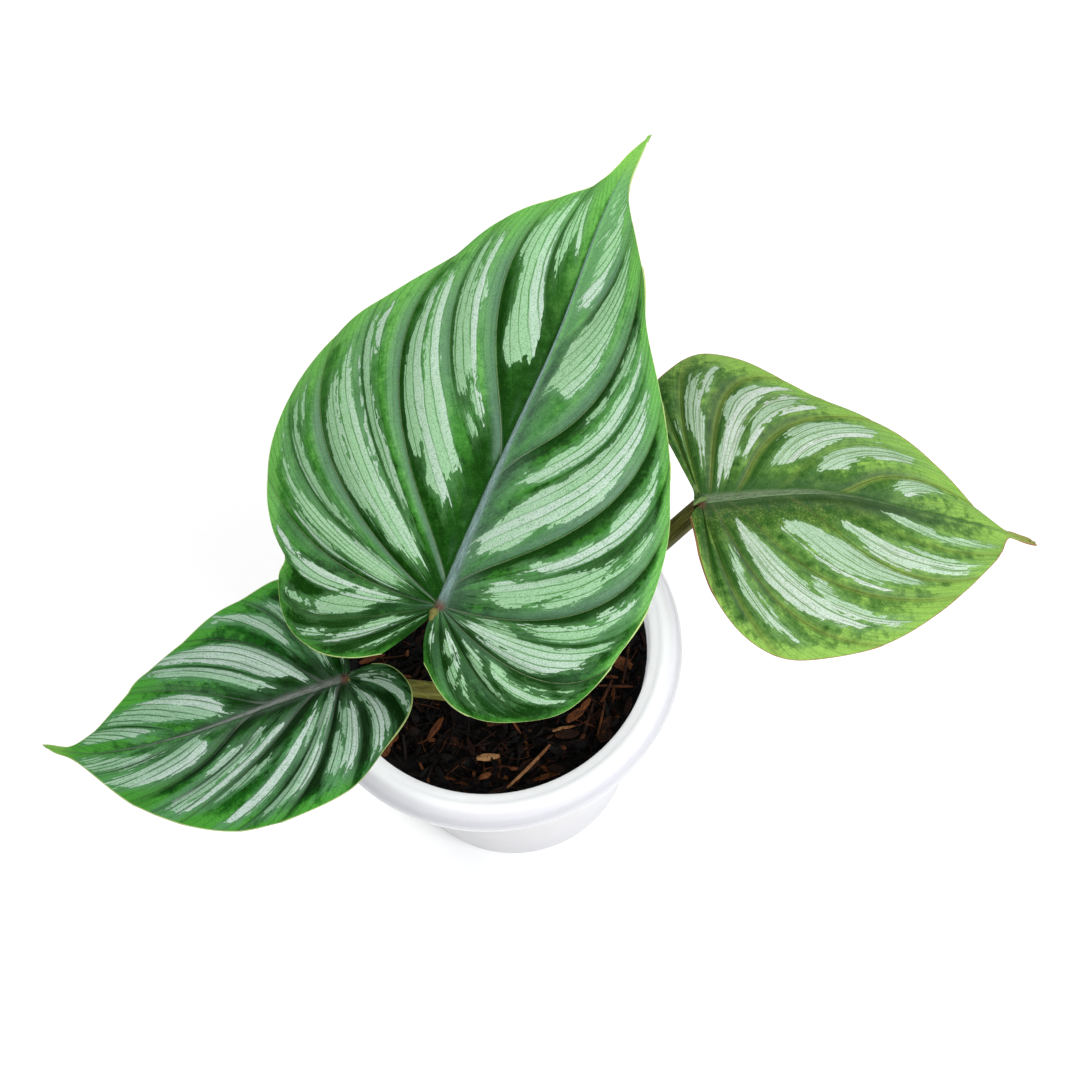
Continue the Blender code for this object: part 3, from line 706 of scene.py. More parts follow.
# %% Leaf guides
LEAVES = {
    "large": {
        "base": (-10.6, -17.7, 169.0), "heading": 56, "pitch": 22, "arch": 24,
        "length": 157, "fold": 0.20, "camber": 0.005, "quilt": 2.6, "wave": 1.0,
        "stalk_radius": (3.6, 3.0), "stalk_sway": (2.0, 3.0, 0.0),
        "midrib": [(0, 0), (40, -1), (84, -2), (124, 1), (144, 1), (157, -1)],
        "outline": {
            +1: [(-19, 11), (-23, 19), (-25, 29), (-23, 39), (-17, 46), (-9, 50),
                 (-3, 50), (3, 57), (13, 64), (27, 69), (43, 70), (56, 67), (70, 60),
                 (84, 49), (98, 38), (112, 29), (124, 17.5), (129, 12.7), (133.4, 8.4),
                 (137.5, 5.4), (142, 3.9), (149, 2.2)],
            -1: [(-17, -2), (-23, -10), (-26, -18), (-25, -28), (-18, -42), (-9, -49),
                 (3, -53), (20, -56), (38, -55), (52, -51), (66, -45), (81, -36),
                 (96, -26), (110, -19), (122.5, -10.9), (131, -5.3), (136, -2.9), (141, -1.7),
                 (149, -1.2)]},
        "veins": {
            +1: [(0, (-10, 4), (-19, 11), 0.0), (0, (-21, 20), (-25, 33), 0.8),
                 (0, (-24, 39), (-12, 49), 0.8), (0, (-5, 41), (17, 66), 1.0),
                 (0, (14, 65), (45, 70), 0.5), (0, (26, 66), (65, 62), 1.0),
                 (4, (51, 60), (79, 53), 0.5), (10, (60, 56), (99, 37), 1.0),
                 (38, (73, 41), (113, 28), 0.7), (51, (93, 30), (126, 16), 1.0),
                 (84, (100, 15), (134, 8), 0.5), (132, (136, 2.8), (139.5, 4.6), 0.0)],
            -1: [(0, (-8, 3), (-17, -2), 0.0), (0, (-22, -7), (-26, -20), 0.6),
                 (0, (-26, -26), (-19, -40), 0.8), (0, (-20, -40), (2, -53), 1.0),
                 (0, (-5, -52), (21, -56), 0.5), (0, (4, -55), (47, -52), 1.0),
                 (6, (25, -55), (62, -47), 0.5), (10, (39, -49), (78, -37), 1.0),
                 (32, (56, -41), (92, -28), 0.5), (46, (68, -33), (115, -16), 1.0),
                 (84, (98, -15), (128, -9), 0.8), (132, (135, -1.6), (138, -2.4), 0.0)]}},
    "right": {
        "base": (69.9, 4.1, 158.0), "heading": -6, "pitch": -12, "arch": 26,
        "length": 113.5, "fold": 0.16, "camber": 0.006, "quilt": 1.9, "wave": 0.9,
        "stalk_radius": (3.5, 3.1), "stalk_sway": (0.0, 0.0, 2.5),
        "midrib": [(0, 0), (38, 4.5), (70, 2), (101.5, 0), (113.5, -1.5)],
        "outline": {
            +1: [(-11, 26), (-13, 34), (-10, 43), (-5, 49), (2, 55), (9, 57), (19, 54),
                 (28, 48), (38, 41), (50, 37), (61, 31), (73, 22), (86, 11.3), (90, 8.1),
                 (94.5, 4.6), (98.5, 2.2), (101.5, 0.9), (106, 0.6), (110.5, 0.3)],
            -1: [(-4, -5), (-3, -12), (-2, -20), (1, -29), (7, -38), (15, -44), (25, -47),
                 (38, -46), (50, -43), (61, -38), (73, -30), (84, -21), (91.7, -13.6),
                 (96, -9.2), (98.8, -5.9), (100.9, -2.9), (102.8, -1.1), (106, -1.5), (110.5, -1.7)]},
        "veins": {
            +1: [(0, (-5, 12), (-11, 26), 0.0), (0, (-6.5, 22), (-11, 41), 0.6),
                 (0, (-8, 36), (3, 55), 0.7), (3, (6, 54), (31, 46), 1.0),
                 (7, (13, 45), (46, 38), 0.4), (12, (21, 36), (58, 32), 1.0),
                 (25, (40, 31), (76, 19), 0.5), (45, (61, 21), (91, 8), 1.0),
                 (97, (99, 0.7), (101.5, 0.9), 0.0)],
            -1: [(0, (-3, -2), (-4, -5), 0.0), (0, (0, -17), (1, -29), 0.5),
                 (0, (4, -32), (21, -46), 0.8), (4, (16, -44), (54, -42), 1.0),
                 (12, (31, -37), (80, -24), 1.0), (31, (55, -29), (88, -17), 1.0),
                 (43, (66, -15), (97, -8), 0.7), (97, (99, -1.2), (101.6, -2.3), 0.0)]}},
    "left": {
        "base": (-44.5, -16.9, 128.0), "heading": 177, "pitch": 0, "arch": 26,
        "length": 101, "fold": 0.16, "camber": 0.007, "quilt": 2.1, "wave": 0.8,
        "stalk_radius": (2.9, 2.4), "stalk_sway": (0.0, 0.0, 1.5),
        "midrib": [(0, 0), (20, 4), (40, 8), (60, 9.5), (78, 8), (90, 4.4), (96, 1.6), (101, -1.5)],
        "outline": {
            +1: [(-9, -3.2), (-14, -2), (-18, 2), (-20, 8), (-18, 15), (-11, 23),
                 (-2, 32), (8, 37), (20, 40), (32, 41), (45, 39), (58, 34), (69, 27),
                 (73.4, 23.3), (78.8, 17.6), (83.5, 12.5), (86.6, 9.3), (89.7, 6.7),
                 (93, 4.7), (97, 2.2)],
            -1: [(-4, -13), (-2, -22), (4, -31), (11, -37), (19, -38), (29, -33),
                 (39, -29), (50, -22), (62, -14), (71, -7), (75.6, -4), (80, -1.5), (84.4, 0.9),
                 (87, 2), (89.5, 2.4), (92, 2.1), (95, 0.9), (98, -0.6)]},
        "veins": {
            +1: [(0, (-4, -2.5), (-9, -3.2), 0.0), (0, (-16, 7), (-13, 21), 0.6),
                 (0, (-9, 18), (2, 34), 0.8), (2, (6, 29), (25, 40), 1.0),
                 (5, (11, 31), (38, 40), 0.6), (10, (26, 25), (56, 35), 1.0),
                 (20, (34, 25), (64, 30), 0.5), (32, (43, 24), (71, 25), 1.0),
                 (50, (62, 16), (82, 15), 0.5), (87, (89, 5.6), (91, 5.8), 0.0)],
            -1: [(0, (-2.4, -6), (-4, -13), 0.0), (0, (-3, -12), (-1, -24), 0.5),
                 (0, (4, -24), (12, -37), 0.7), (4, (18, -28), (31, -33), 0.8),
                 (7, (25, -21), (50, -22), 1.0), (15, (36, -14), (61, -15), 0.5),
                 (25, (45, -7), (69, -9), 1.0), (50, (64, 1), (81, 0), 0.5),
                 (87, (88.5, 3.8), (90, 2.4), 0.0)]}},
}
print("leaves:", {name: leaf["length"] for name, leaf in LEAVES.items()})

# %% [markdown]
# ## Leaves: where the silver lies
#
# The silver is air under the skin, in streaks between the veins. A random pattern of the
# right kind would look alike, but these streaks have places: each one is listed as a few
# stations of (share of the way out, first vein count, last vein count). The shader later
# tears their edges, so the stations only have to be roughly right.

# %% Silver streaks
STREAKS = {
    ("large", +1): [
        [(.22, .80, .92), (.40, .67, .76), (.60, .56, .62)],
        [(.16, 1.60, 1.85), (.21, 1.38, 1.85), (.30, 1.14, 1.66), (.40, 1.02, 1.40), (.52, 1.0, 1.12)],
        [(.40, 1.36, 1.48), (.54, 1.18, 1.32), (.66, 1.12, 1.22)],
        [(.60, 1.42, 1.54), (.72, 1.40, 1.54), (.83, 1.40, 1.46)],
        [(.19, 2.50, 2.85), (.25, 2.22, 2.85), (.31, 2.08, 2.62), (.40, 2.05, 2.36), (.60, 2.0, 2.16)],
        [(.35, 2.60, 2.72), (.45, 2.46, 2.68), (.65, 2.38, 2.62), (.82, 2.62, 2.72)],
        [(.62, 2.07, 2.14), (.85, 2.07, 2.13)],
        [(.11, 3.60, 4.50), (.16, 3.28, 4.50), (.21, 3.20, 4.25), (.27, 3.30, 4.05), (.33, 3.38, 3.92),
         (.60, 3.45, 3.74), (.80, 3.54, 3.62)],
        [(.37, 3.30, 3.42), (.43, 3.12, 3.44), (.50, 3.10, 3.44), (.57, 3.20, 3.46), (.66, 3.28, 3.42)],
        [(.68, 3.58, 3.70), (.80, 3.64, 3.76), (.87, 3.72, 3.78)],
        [(.27, 4.36, 4.55), (.34, 4.12, 4.45), (.45, 3.97, 4.40), (.60, 4.0, 4.30), (.85, 4.18, 4.30)],
        [(.70, 4.42, 4.50), (.78, 4.40, 4.56), (.88, 4.48, 4.56)],
        [(.08, 5.62, 5.86), (.13, 5.50, 6.0), (.16, 5.26, 6.02), (.21, 5.32, 5.94), (.28, 5.42, 5.88),
         (.50, 5.45, 5.80), (.65, 5.50, 5.75), (.82, 5.62, 5.72)],
        [(.25, 5.25, 5.38), (.33, 5.10, 5.40), (.45, 5.08, 5.38), (.60, 5.15, 5.42), (.72, 5.34, 5.42)],
        [(.22, 6.22, 6.36), (.28, 6.05, 6.30), (.35, 5.92, 6.28), (.45, 5.93, 6.20), (.65, 5.93, 6.16),
         (.80, 5.96, 6.15), (.89, 6.0, 6.08)],
        [(.70, 6.30, 6.42), (.78, 6.25, 6.38), (.86, 6.30, 6.36)],
        [(.13, 7.32, 7.75), (.17, 7.20, 7.75), (.23, 7.28, 7.78), (.32, 7.40, 7.82), (.45, 7.50, 7.86),
         (.60, 7.55, 7.82), (.72, 7.55, 7.80), (.82, 7.56, 7.66)],
        [(.26, 7.10, 7.24), (.31, 7.06, 7.36), (.42, 7.08, 7.46), (.60, 7.16, 7.50), (.67, 7.26, 7.48)],
        [(.70, 7.36, 7.44), (.77, 7.26, 7.36)],
        [(.27, 8.02, 8.16), (.33, 8.03, 8.50), (.45, 8.03, 8.48), (.60, 8.04, 8.40), (.78, 8.06, 8.30),
         (.88, 8.02, 8.16)],
        [(.28, 8.36, 8.50), (.36, 8.34, 8.56), (.50, 8.42, 8.64), (.56, 8.45, 8.74), (.66, 8.40, 8.62),
         (.78, 8.42, 8.58), (.85, 8.38, 8.45)],
        [(.15, 8.44, 8.50), (.20, 8.36, 8.50), (.25, 8.30, 8.40)],
        [(.15, 8.12, 8.22), (.21, 8.08, 8.15)],
        [(.10, 9.60, 9.70), (.15, 9.50, 9.80), (.20, 9.24, 9.86), (.25, 9.15, 9.95), (.32, 9.22, 9.97),
         (.50, 9.40, 9.96), (.64, 9.32, 9.93), (.70, 9.14, 9.90), (.83, 9.20, 9.88), (.93, 9.60, 9.80)],
        [(.38, 10.10, 10.16), (.50, 10.06, 10.26), (.65, 10.05, 10.38), (.80, 10.03, 10.36),
         (.91, 10.02, 10.2)],
        [(.35, 10.40, 10.45), (.50, 10.36, 10.48), (.68, 10.40, 10.46)]],
    ("large", -1): [
        [(.29, .56, .64), (.37, .42, .50)],
        [(.15, 1.60, 1.85), (.20, 1.30, 1.76), (.26, 1.12, 1.62), (.33, 1.10, 1.34)],
        [(.28, 1.56, 1.72), (.36, 1.30, 1.62), (.45, 1.06, 1.46), (.55, 1.0, 1.24), (.64, 1.02, 1.14)],
        [(.45, 1.48, 1.56), (.62, 1.34, 1.44), (.73, 1.34, 1.40)],
        [(.19, 2.36, 2.90), (.25, 2.08, 2.66), (.32, 1.98, 2.44), (.42, 2.0, 2.26), (.60, 2.02, 2.14)],
        [(.27, 2.80, 2.96), (.34, 2.60, 2.90), (.42, 2.42, 2.72), (.60, 2.38, 2.68), (.70, 2.44, 2.66),
         (.79, 2.52, 2.60)],
        [(.53, 2.74, 2.82), (.65, 2.70, 2.78)],
        [(.72, 2.80, 2.90), (.82, 2.74, 2.80)],
        [(.13, 3.60, 4.55), (.18, 3.52, 4.55), (.25, 3.50, 4.25), (.32, 3.48, 4.02), (.45, 3.50, 3.86),
         (.58, 3.62, 3.90), (.66, 3.72, 3.98), (.73, 3.84, 3.94)],
        [(.22, 3.24, 3.44), (.30, 3.14, 3.45), (.42, 3.12, 3.50), (.52, 3.20, 3.55), (.65, 3.46, 3.66)],
        [(.30, 4.20, 4.56), (.36, 4.06, 4.60), (.44, 4.02, 4.50), (.60, 4.10, 4.45), (.70, 4.30, 4.54),
         (.79, 4.40, 4.50)],
        [(.60, 4.56, 4.66), (.66, 4.54, 4.60)],
        [(.13, 5.45, 6.10), (.19, 5.25, 6.02), (.25, 5.30, 5.98), (.33, 5.44, 5.92), (.45, 5.53, 5.80),
         (.60, 5.56, 5.72)],
        [(.28, 5.22, 5.35), (.35, 5.18, 5.48), (.42, 5.18, 5.52), (.56, 5.34, 5.54), (.66, 5.38, 5.50)],
        [(.66, 5.36, 5.62), (.74, 5.28, 5.72), (.80, 5.30, 5.60), (.86, 5.34, 5.42)],
        [(.24, 6.36, 6.52), (.31, 6.10, 6.40), (.38, 6.02, 6.42), (.52, 6.0, 6.36)],
        [(.52, 6.02, 6.36), (.57, 6.0, 6.62), (.64, 6.0, 6.60), (.75, 6.02, 6.45)],
        [(.75, 6.12, 6.40), (.82, 6.30, 6.55), (.88, 6.46, 6.54)],
        [(.06, 7.30, 7.60), (.11, 7.22, 7.72), (.15, 7.14, 7.85), (.24, 7.28, 7.88), (.33, 7.38, 7.88),
         (.50, 7.50, 7.90), (.66, 7.58, 7.88), (.78, 7.64, 7.86), (.84, 7.68, 7.74)],
        [(.28, 7.24, 7.32), (.35, 7.14, 7.42), (.50, 7.14, 7.48), (.58, 7.18, 7.53), (.70, 7.34, 7.58),
         (.80, 7.42, 7.58)],
        [(.13, 8.26, 8.50), (.19, 8.10, 8.36), (.26, 8.08, 8.50), (.35, 8.03, 8.42), (.50, 8.03, 8.40),
         (.60, 8.05, 8.47), (.72, 8.12, 8.40), (.86, 8.20, 8.28)],
        [(.44, 8.64, 8.76), (.54, 8.58, 8.68)],
        [(.58, 8.70, 8.78), (.66, 8.58, 8.82), (.73, 8.45, 8.86), (.82, 8.45, 8.66)],
        [(.08, 9.52, 9.60), (.14, 9.50, 9.72), (.20, 9.42, 9.90), (.27, 9.26, 9.93), (.40, 9.26, 9.97),
         (.55, 9.36, 9.98), (.70, 9.46, 9.99), (.80, 9.52, 10.01), (.90, 9.84, 10.03)],
        [(.21, 10.18, 10.26), (.25, 10.13, 10.38), (.32, 10.12, 10.46), (.40, 10.14, 10.54),
         (.50, 10.20, 10.54), (.60, 10.26, 10.54), (.70, 10.24, 10.80), (.78, 10.36, 10.86),
         (.84, 10.66, 10.84)],
        [(.30, 10.66, 10.90), (.34, 10.63, 11.02), (.40, 10.63, 11.02), (.44, 10.68, 10.92)]],
    ("right", +1): [
        [(.30, 1.40, 1.50), (.50, 1.25, 1.40), (.65, 1.30, 1.40)],
        [(.17, 2.60, 2.76), (.23, 2.50, 2.80), (.29, 2.36, 2.76), (.36, 2.18, 2.66), (.50, 2.18, 2.46),
         (.70, 2.22, 2.34)],
        [(.50, 2.54, 2.68), (.62, 2.50, 2.64), (.78, 2.44, 2.52)],
        [(.12, 3.40, 3.95), (.16, 3.28, 4.10), (.20, 3.25, 4.38), (.26, 3.38, 4.26), (.38, 3.48, 4.0),
         (.55, 3.48, 3.80), (.70, 3.46, 3.62), (.82, 3.44, 3.52)],
        [(.34, 3.10, 3.36), (.45, 3.06, 3.42), (.60, 3.18, 3.46), (.73, 3.26, 3.42)],
        [(.25, 4.54, 4.64), (.32, 4.30, 4.60), (.42, 4.08, 4.46), (.52, 3.98, 4.48), (.65, 3.90, 4.40),
         (.80, 3.82, 4.34), (.85, 4.0, 4.20)],
        [(.60, 4.48, 4.54), (.74, 4.50, 4.64)],
        [(.17, 5.32, 5.44), (.24, 5.34, 5.74), (.32, 5.30, 5.95), (.45, 5.24, 5.86), (.60, 5.08, 5.82),
         (.75, 5.24, 5.70), (.86, 5.30, 5.54)],
        [(.40, 5.14, 5.26), (.50, 5.06, 5.36), (.60, 5.06, 5.40)],
        [(.19, 6.20, 6.28), (.27, 6.18, 6.58), (.34, 6.06, 6.46), (.50, 5.96, 6.36), (.60, 5.92, 6.55),
         (.72, 5.88, 6.45), (.88, 5.92, 6.20)],
        [(.25, 7.18, 7.25), (.45, 7.06, 7.25), (.66, 7.0, 7.18)]],
    ("right", -1): [
        [(.19, 2.60, 2.86), (.26, 2.46, 2.76), (.34, 2.24, 2.58), (.50, 2.16, 2.44), (.75, 2.24, 2.34)],
        [(.37, 2.62, 2.70), (.50, 2.50, 2.62), (.66, 2.40, 2.54), (.80, 2.42, 2.46)],
        [(.10, 3.40, 3.56), (.16, 3.28, 3.66), (.24, 3.18, 3.74), (.33, 3.14, 3.70), (.50, 3.14, 3.56),
         (.65, 3.24, 3.42), (.76, 3.30, 3.38)],
        [(.41, 3.74, 3.85), (.47, 3.62, 3.90), (.55, 3.50, 3.78), (.75, 3.44, 3.62), (.89, 3.42, 3.58)],
        [(.10, 4.42, 4.54), (.16, 4.26, 4.74), (.24, 4.34, 4.88), (.34, 4.28, 4.97), (.48, 4.26, 4.99),
         (.62, 4.48, 4.99), (.74, 4.62, 4.90)],
        [(.55, 4.28, 4.42), (.64, 4.28, 4.38)],
        [(.18, 5.25, 5.35), (.26, 5.22, 5.44), (.36, 5.12, 5.56), (.55, 5.14, 5.52), (.70, 5.18, 5.46),
         (.87, 5.22, 5.38)],
        [(.42, 5.64, 5.70), (.52, 5.60, 5.72), (.70, 5.50, 5.68), (.90, 5.50, 5.58)],
        [(.08, 6.20, 6.25), (.20, 6.14, 6.30), (.50, 6.14, 6.30), (.70, 6.16, 6.42), (.86, 6.22, 6.38)]],
    ("left", +1): [
        [(.30, .74, .86), (.42, .64, .80), (.60, .60, .72), (.85, .65, .70)],
        [(.32, .34, .44), (.60, .30, .38)],
        [(.17, 1.50, 1.66), (.24, 1.36, 1.64), (.32, 1.22, 1.50), (.45, 1.12, 1.40), (.60, 1.08, 1.28),
         (.78, 1.02, 1.12)],
        [(.42, 1.50, 1.58), (.52, 1.38, 1.54), (.68, 1.32, 1.60), (.80, 1.38, 1.56)],
        [(.20, 2.50, 2.66), (.25, 2.20, 2.66), (.36, 2.12, 2.56), (.48, 2.06, 2.46), (.62, 2.10, 2.38),
         (.71, 2.18, 2.26)],
        [(.41, 2.62, 2.75), (.50, 2.45, 2.68), (.66, 2.42, 2.60), (.76, 2.42, 2.48)],
        [(.27, 2.05, 2.15), (.33, 1.98, 2.15), (.38, 2.0, 2.1)],
        [(.09, 3.05, 3.70), (.14, 3.20, 4.02), (.20, 3.30, 3.96), (.28, 3.46, 3.96), (.36, 3.40, 3.95),
         (.42, 3.08, 3.95), (.52, 3.06, 3.96), (.64, 3.20, 3.96), (.73, 3.42, 3.97), (.81, 3.56, 3.97)],
        [(.14, 4.06, 4.28), (.26, 4.04, 4.22), (.42, 4.03, 4.12)],
        [(.29, 4.30, 4.42), (.40, 4.20, 4.44), (.60, 4.16, 4.40), (.88, 4.18, 4.36)],
        [(.20, 5.06, 5.30), (.26, 5.03, 5.36), (.35, 5.04, 5.42), (.50, 5.04, 5.45), (.70, 5.04, 5.46),
         (.84, 5.10, 5.50), (.94, 5.30, 5.56)],
        [(.46, 4.68, 4.84), (.56, 4.70, 4.94), (.70, 4.84, 4.97), (.82, 4.90, 4.97)],
        [(.24, 5.92, 6.08), (.31, 5.64, 6.10), (.38, 5.58, 6.38), (.50, 5.50, 6.36), (.62, 5.50, 6.18),
         (.80, 5.50, 6.18), (.91, 5.60, 6.05)],
        [(.30, 6.54, 6.60), (.42, 6.30, 6.44), (.56, 6.18, 6.34)],
        [(.16, 7.60, 7.74), (.22, 7.32, 7.78), (.30, 7.22, 7.76), (.45, 7.16, 7.72), (.60, 7.20, 7.74),
         (.75, 7.30, 7.78), (.86, 7.36, 7.80), (.93, 7.50, 7.74)],
        [(.28, 7.92, 8.04), (.40, 7.88, 8.14), (.52, 7.84, 8.30), (.64, 7.84, 8.48), (.78, 7.88, 8.56),
         (.92, 7.98, 8.44)],
        [(.48, 8.52, 8.64), (.66, 8.50, 8.76), (.88, 8.46, 8.66)]],
    ("left", -1): [
        [(.22, 1.40, 1.56), (.40, 1.26, 1.50), (.62, 1.20, 1.40), (.76, 1.30, 1.38)],
        [(.13, 2.60, 2.80), (.20, 2.60, 2.94), (.40, 2.74, 2.95), (.60, 2.70, 2.95), (.76, 2.80, 2.97)],
        [(.34, 3.34, 3.48), (.42, 3.18, 3.46), (.50, 3.10, 3.50), (.64, 3.18, 3.50), (.80, 3.38, 3.56),
         (.91, 3.50, 3.64)],
        [(.12, 4.10, 4.26), (.20, 4.05, 4.74), (.30, 4.08, 4.86), (.48, 4.08, 4.82), (.62, 4.14, 4.82),
         (.75, 4.26, 4.82), (.84, 4.50, 4.80), (.95, 4.60, 4.76)],
        [(.16, 5.20, 5.60), (.25, 5.12, 5.60), (.36, 5.03, 5.52), (.60, 5.03, 5.55), (.80, 5.03, 5.60),
         (.95, 5.04, 5.30)],
        [(.11, 6.42, 6.56), (.20, 6.26, 6.66), (.30, 6.16, 6.74), (.42, 6.12, 6.84), (.56, 6.14, 6.92),
         (.68, 6.28, 6.97), (.80, 6.42, 6.98), (.92, 6.60, 6.98)],
        [(.36, 7.06, 7.24), (.50, 7.02, 7.44), (.66, 7.02, 7.62), (.80, 7.02, 7.66), (.94, 7.06, 7.46)]],
}
print("streaks:", sum(len(streaks) for streaks in STREAKS.values()))

# %% [markdown]
# ## Leaves: from guides to places
#
# A smooth line runs through the outline's points. Every vein bows from the midrib to the
# margin as a quadratic curve, and places between two veins follow a blend of their
# starts, bows and ends. The sheet is then arched along the blade, folded at the midrib,
# quilted between the veins and waved at the margin.

# %% Places on a blade


def spline(points, steps=12):
    """A smooth line through the points (Catmull-Rom)."""
    given = np.array(points, float)
    given = np.vstack([2 * given[0] - given[1], given, 2 * given[-1] - given[-2]])
    line = []
    for before, first, second, after in zip(given, given[1:], given[2:], given[3:]):
        for s in np.arange(steps) / steps:
            line.append(0.5 * (2 * first + (second - before) * s
                               + (2 * before - 5 * first + 4 * second - after) * s ** 2
                               + (3 * first - before - 3 * second + after) * s ** 3))
    line.append(given[-2])
    return np.array(line)


def read_half(leaf, side):
    """The guides of one half of a blade, each a value per vein counted from the notch."""
    tip = leaf["midrib"][-1]
    midrib = spline(leaf["midrib"])
    margin = spline(leaf["outline"][side] + [tip])
    run = np.concatenate([[0.0], np.cumsum(np.hypot(*np.diff(margin, axis=0).T))])
    starts, reaches, bows, depths = [], [], [], []
    for start, bow, end, depth in leaf["veins"][side]:
        nearest = np.argmin(((margin - np.array(end)) ** 2).sum(axis=1))
        root = np.array((start, np.interp(start, *midrib.T)))
        chord = margin[nearest] - root
        toward = np.array(bow) - root
        starts.append(start)
        reaches.append(run[nearest])
        bows.append((toward @ chord / (chord @ chord),
                     (toward[1] * chord[0] - toward[0] * chord[1]) / (chord @ chord)))
        depths.append(depth)
    starts.append(tip[0])
    reaches.append(run[-1])
    bows.append((0.5, 0.0))
    depths.append(0.0)
    basal = max(i for i, start in enumerate(starts) if start == 0)
    return {"count": np.arange(len(starts)), "start": np.array(starts, float), "reach": np.array(reaches),
            "bow": np.array(bows), "depth": np.array(depths), "basal": basal,
            "margin": margin, "run": run, "midrib": midrib}


def vein_line(half, vein, rows):
    """Points (along, across) from the midrib to the margin at a vein count."""
    start = np.interp(vein, half["count"], half["start"])
    root = np.array((start, np.interp(start, *half["midrib"].T)))
    reach = np.interp(vein, half["count"], half["reach"])
    end = np.array([np.interp(reach, half["run"], axis) for axis in half["margin"].T])
    along, across = (np.interp(vein, half["count"], bow) for bow in half["bow"].T)
    chord = end - root
    bowed = root + along * chord + across * np.array((-chord[1], chord[0]))
    t = np.array(rows)[:, None]
    line = (1 - t) ** 2 * root + 2 * t * (1 - t) * bowed + t ** 2 * end
    tip = half["start"][-1]
    merge = 0.045 * tip * min(1, start / 15) * min(1, (tip - start) / (0.4 * tip))
    early = np.array((start - merge, np.interp(start - merge, *half["midrib"].T)))
    return line + (early - root) * np.exp(-t / 0.06)


def relief(leaf, half, vein, t):
    """Height of the quilted blade: veins lie sunk between bulges, and the edge waves."""
    swell = leaf["quilt"] * (0.85 * np.sin(math.pi * t ** 0.75) + 0.3 * t ** 3)
    depth = np.interp(vein, half["count"], half["depth"])
    fade = min(1.0, (half["count"][-1] - vein) / 2.0)
    sunk = depth * (1 - abs(math.sin(math.pi * vein))) * math.sqrt(fade)
    wave = leaf["wave"] * math.sin(2 * math.pi * 0.37 * vein + 1) * t ** 3 * fade
    return swell * (0.35 * fade - sunk) + wave


def place_on_leaf(leaf, along, across, lift):
    """Points of the arched, folded blade in the pot's frame, in millimetres."""
    pitch = math.radians(leaf["pitch"])
    bend = math.radians(leaf["arch"]) / leaf["length"]
    heading = math.radians(leaf["heading"])
    slope = pitch - bend * along
    forward = (math.sin(pitch) - np.sin(slope)) / bend
    rise = (np.cos(slope) - math.cos(pitch)) / bend
    lift = lift + leaf["fold"] * (np.sqrt(across ** 2 + 9) - 3) - leaf["camber"] * across ** 2
    ahead = forward - lift * np.sin(slope)
    x = leaf["base"][0] + ahead * math.cos(heading) - across * math.sin(heading)
    y = leaf["base"][1] + ahead * math.sin(heading) + across * math.cos(heading)
    z = leaf["base"][2] + rise + lift * np.cos(slope)
    return np.stack([x, y, z], axis=-1)


print("tip of the large leaf:", place_on_leaf(LEAVES["large"], 156.0, 0.0, 0.0).round(1))

# %% [markdown]
# ## Leaves: the sheet
#
# The blade starts as a grid primitive. One direction of the grid runs along the midrib
# and the other from the right margin over the midrib to the left one, so each row of
# vertices can be laid on a guide. The basal columns fan out from the stalk and their
# inner ends weld together. Solidify then gives the sheet its thickness, and a vertex
# group makes it thicker along the veins, which stand out underneath as on the real leaf.

# %% Columns of the sheet
ROWS = 40
STEP = 1.25
THICK = 0.62
RIB = 2.0
SKIN_LIFT = 0.45
TORN_SIDE = 0.8
TORN_END = 3.0
RIGHT_HALF_AT = 400
# SHEEN_SIDE points to the light whose sheen and shade are painted on the blades.
SHEEN_SIDE = np.array((0.82, -0.51, -0.24))


def sheet_columns(leaf, halves):
    """Vein counts of both halves for every column of the grid."""
    first, second = halves[+1], halves[-1]
    columns = []
    for vein in range(first["basal"]):
        gaps = [half["reach"][vein + 1] - half["reach"][vein] for half in (first, second)]
        steps = max(4, math.ceil(max(gaps) / STEP))
        columns += [(vein + s / steps, vein + s / steps) for s in range(steps)]
    stations = sorted(set(first["start"]) | set(second["start"]))
    counts = {}
    for side, half in halves.items():
        counts[side] = (half["start"][half["basal"]:], half["count"][half["basal"]:])
    for low, high in zip(stations, stations[1:]):
        gaps = [high - low]
        for side, half in halves.items():
            veins = [np.interp(at, *counts[side]) for at in (low, high)]
            ends = [np.interp(vein, half["count"], half["reach"]) for vein in veins]
            gaps.append(ends[1] - ends[0])
        steps = math.ceil(max(gaps) / STEP)
        for at in np.linspace(low, high, steps, endpoint=False):
            columns.append((np.interp(at, *counts[+1]), np.interp(at, *counts[-1])))
    columns.append((first["count"][-1], second["count"][-1]))
    return np.array(columns)


def streak_field(streaks, vein, t, gap, length):
    """How far inside the nearest streak a place lies, about 1 per torn edge's width."""
    field = np.full(len(t), -4.0)
    for stations in streaks:
        shares, low, high = np.array(stations).T
        side = np.minimum(vein - np.interp(t, shares, low), np.interp(t, shares, high) - vein)
        side = side * gap / TORN_SIDE
        end = np.minimum(t - shares[0], shares[-1] - t) * length / TORN_END
        field = np.maximum(field, np.minimum(side, end))
    return np.minimum(field, 4.0)


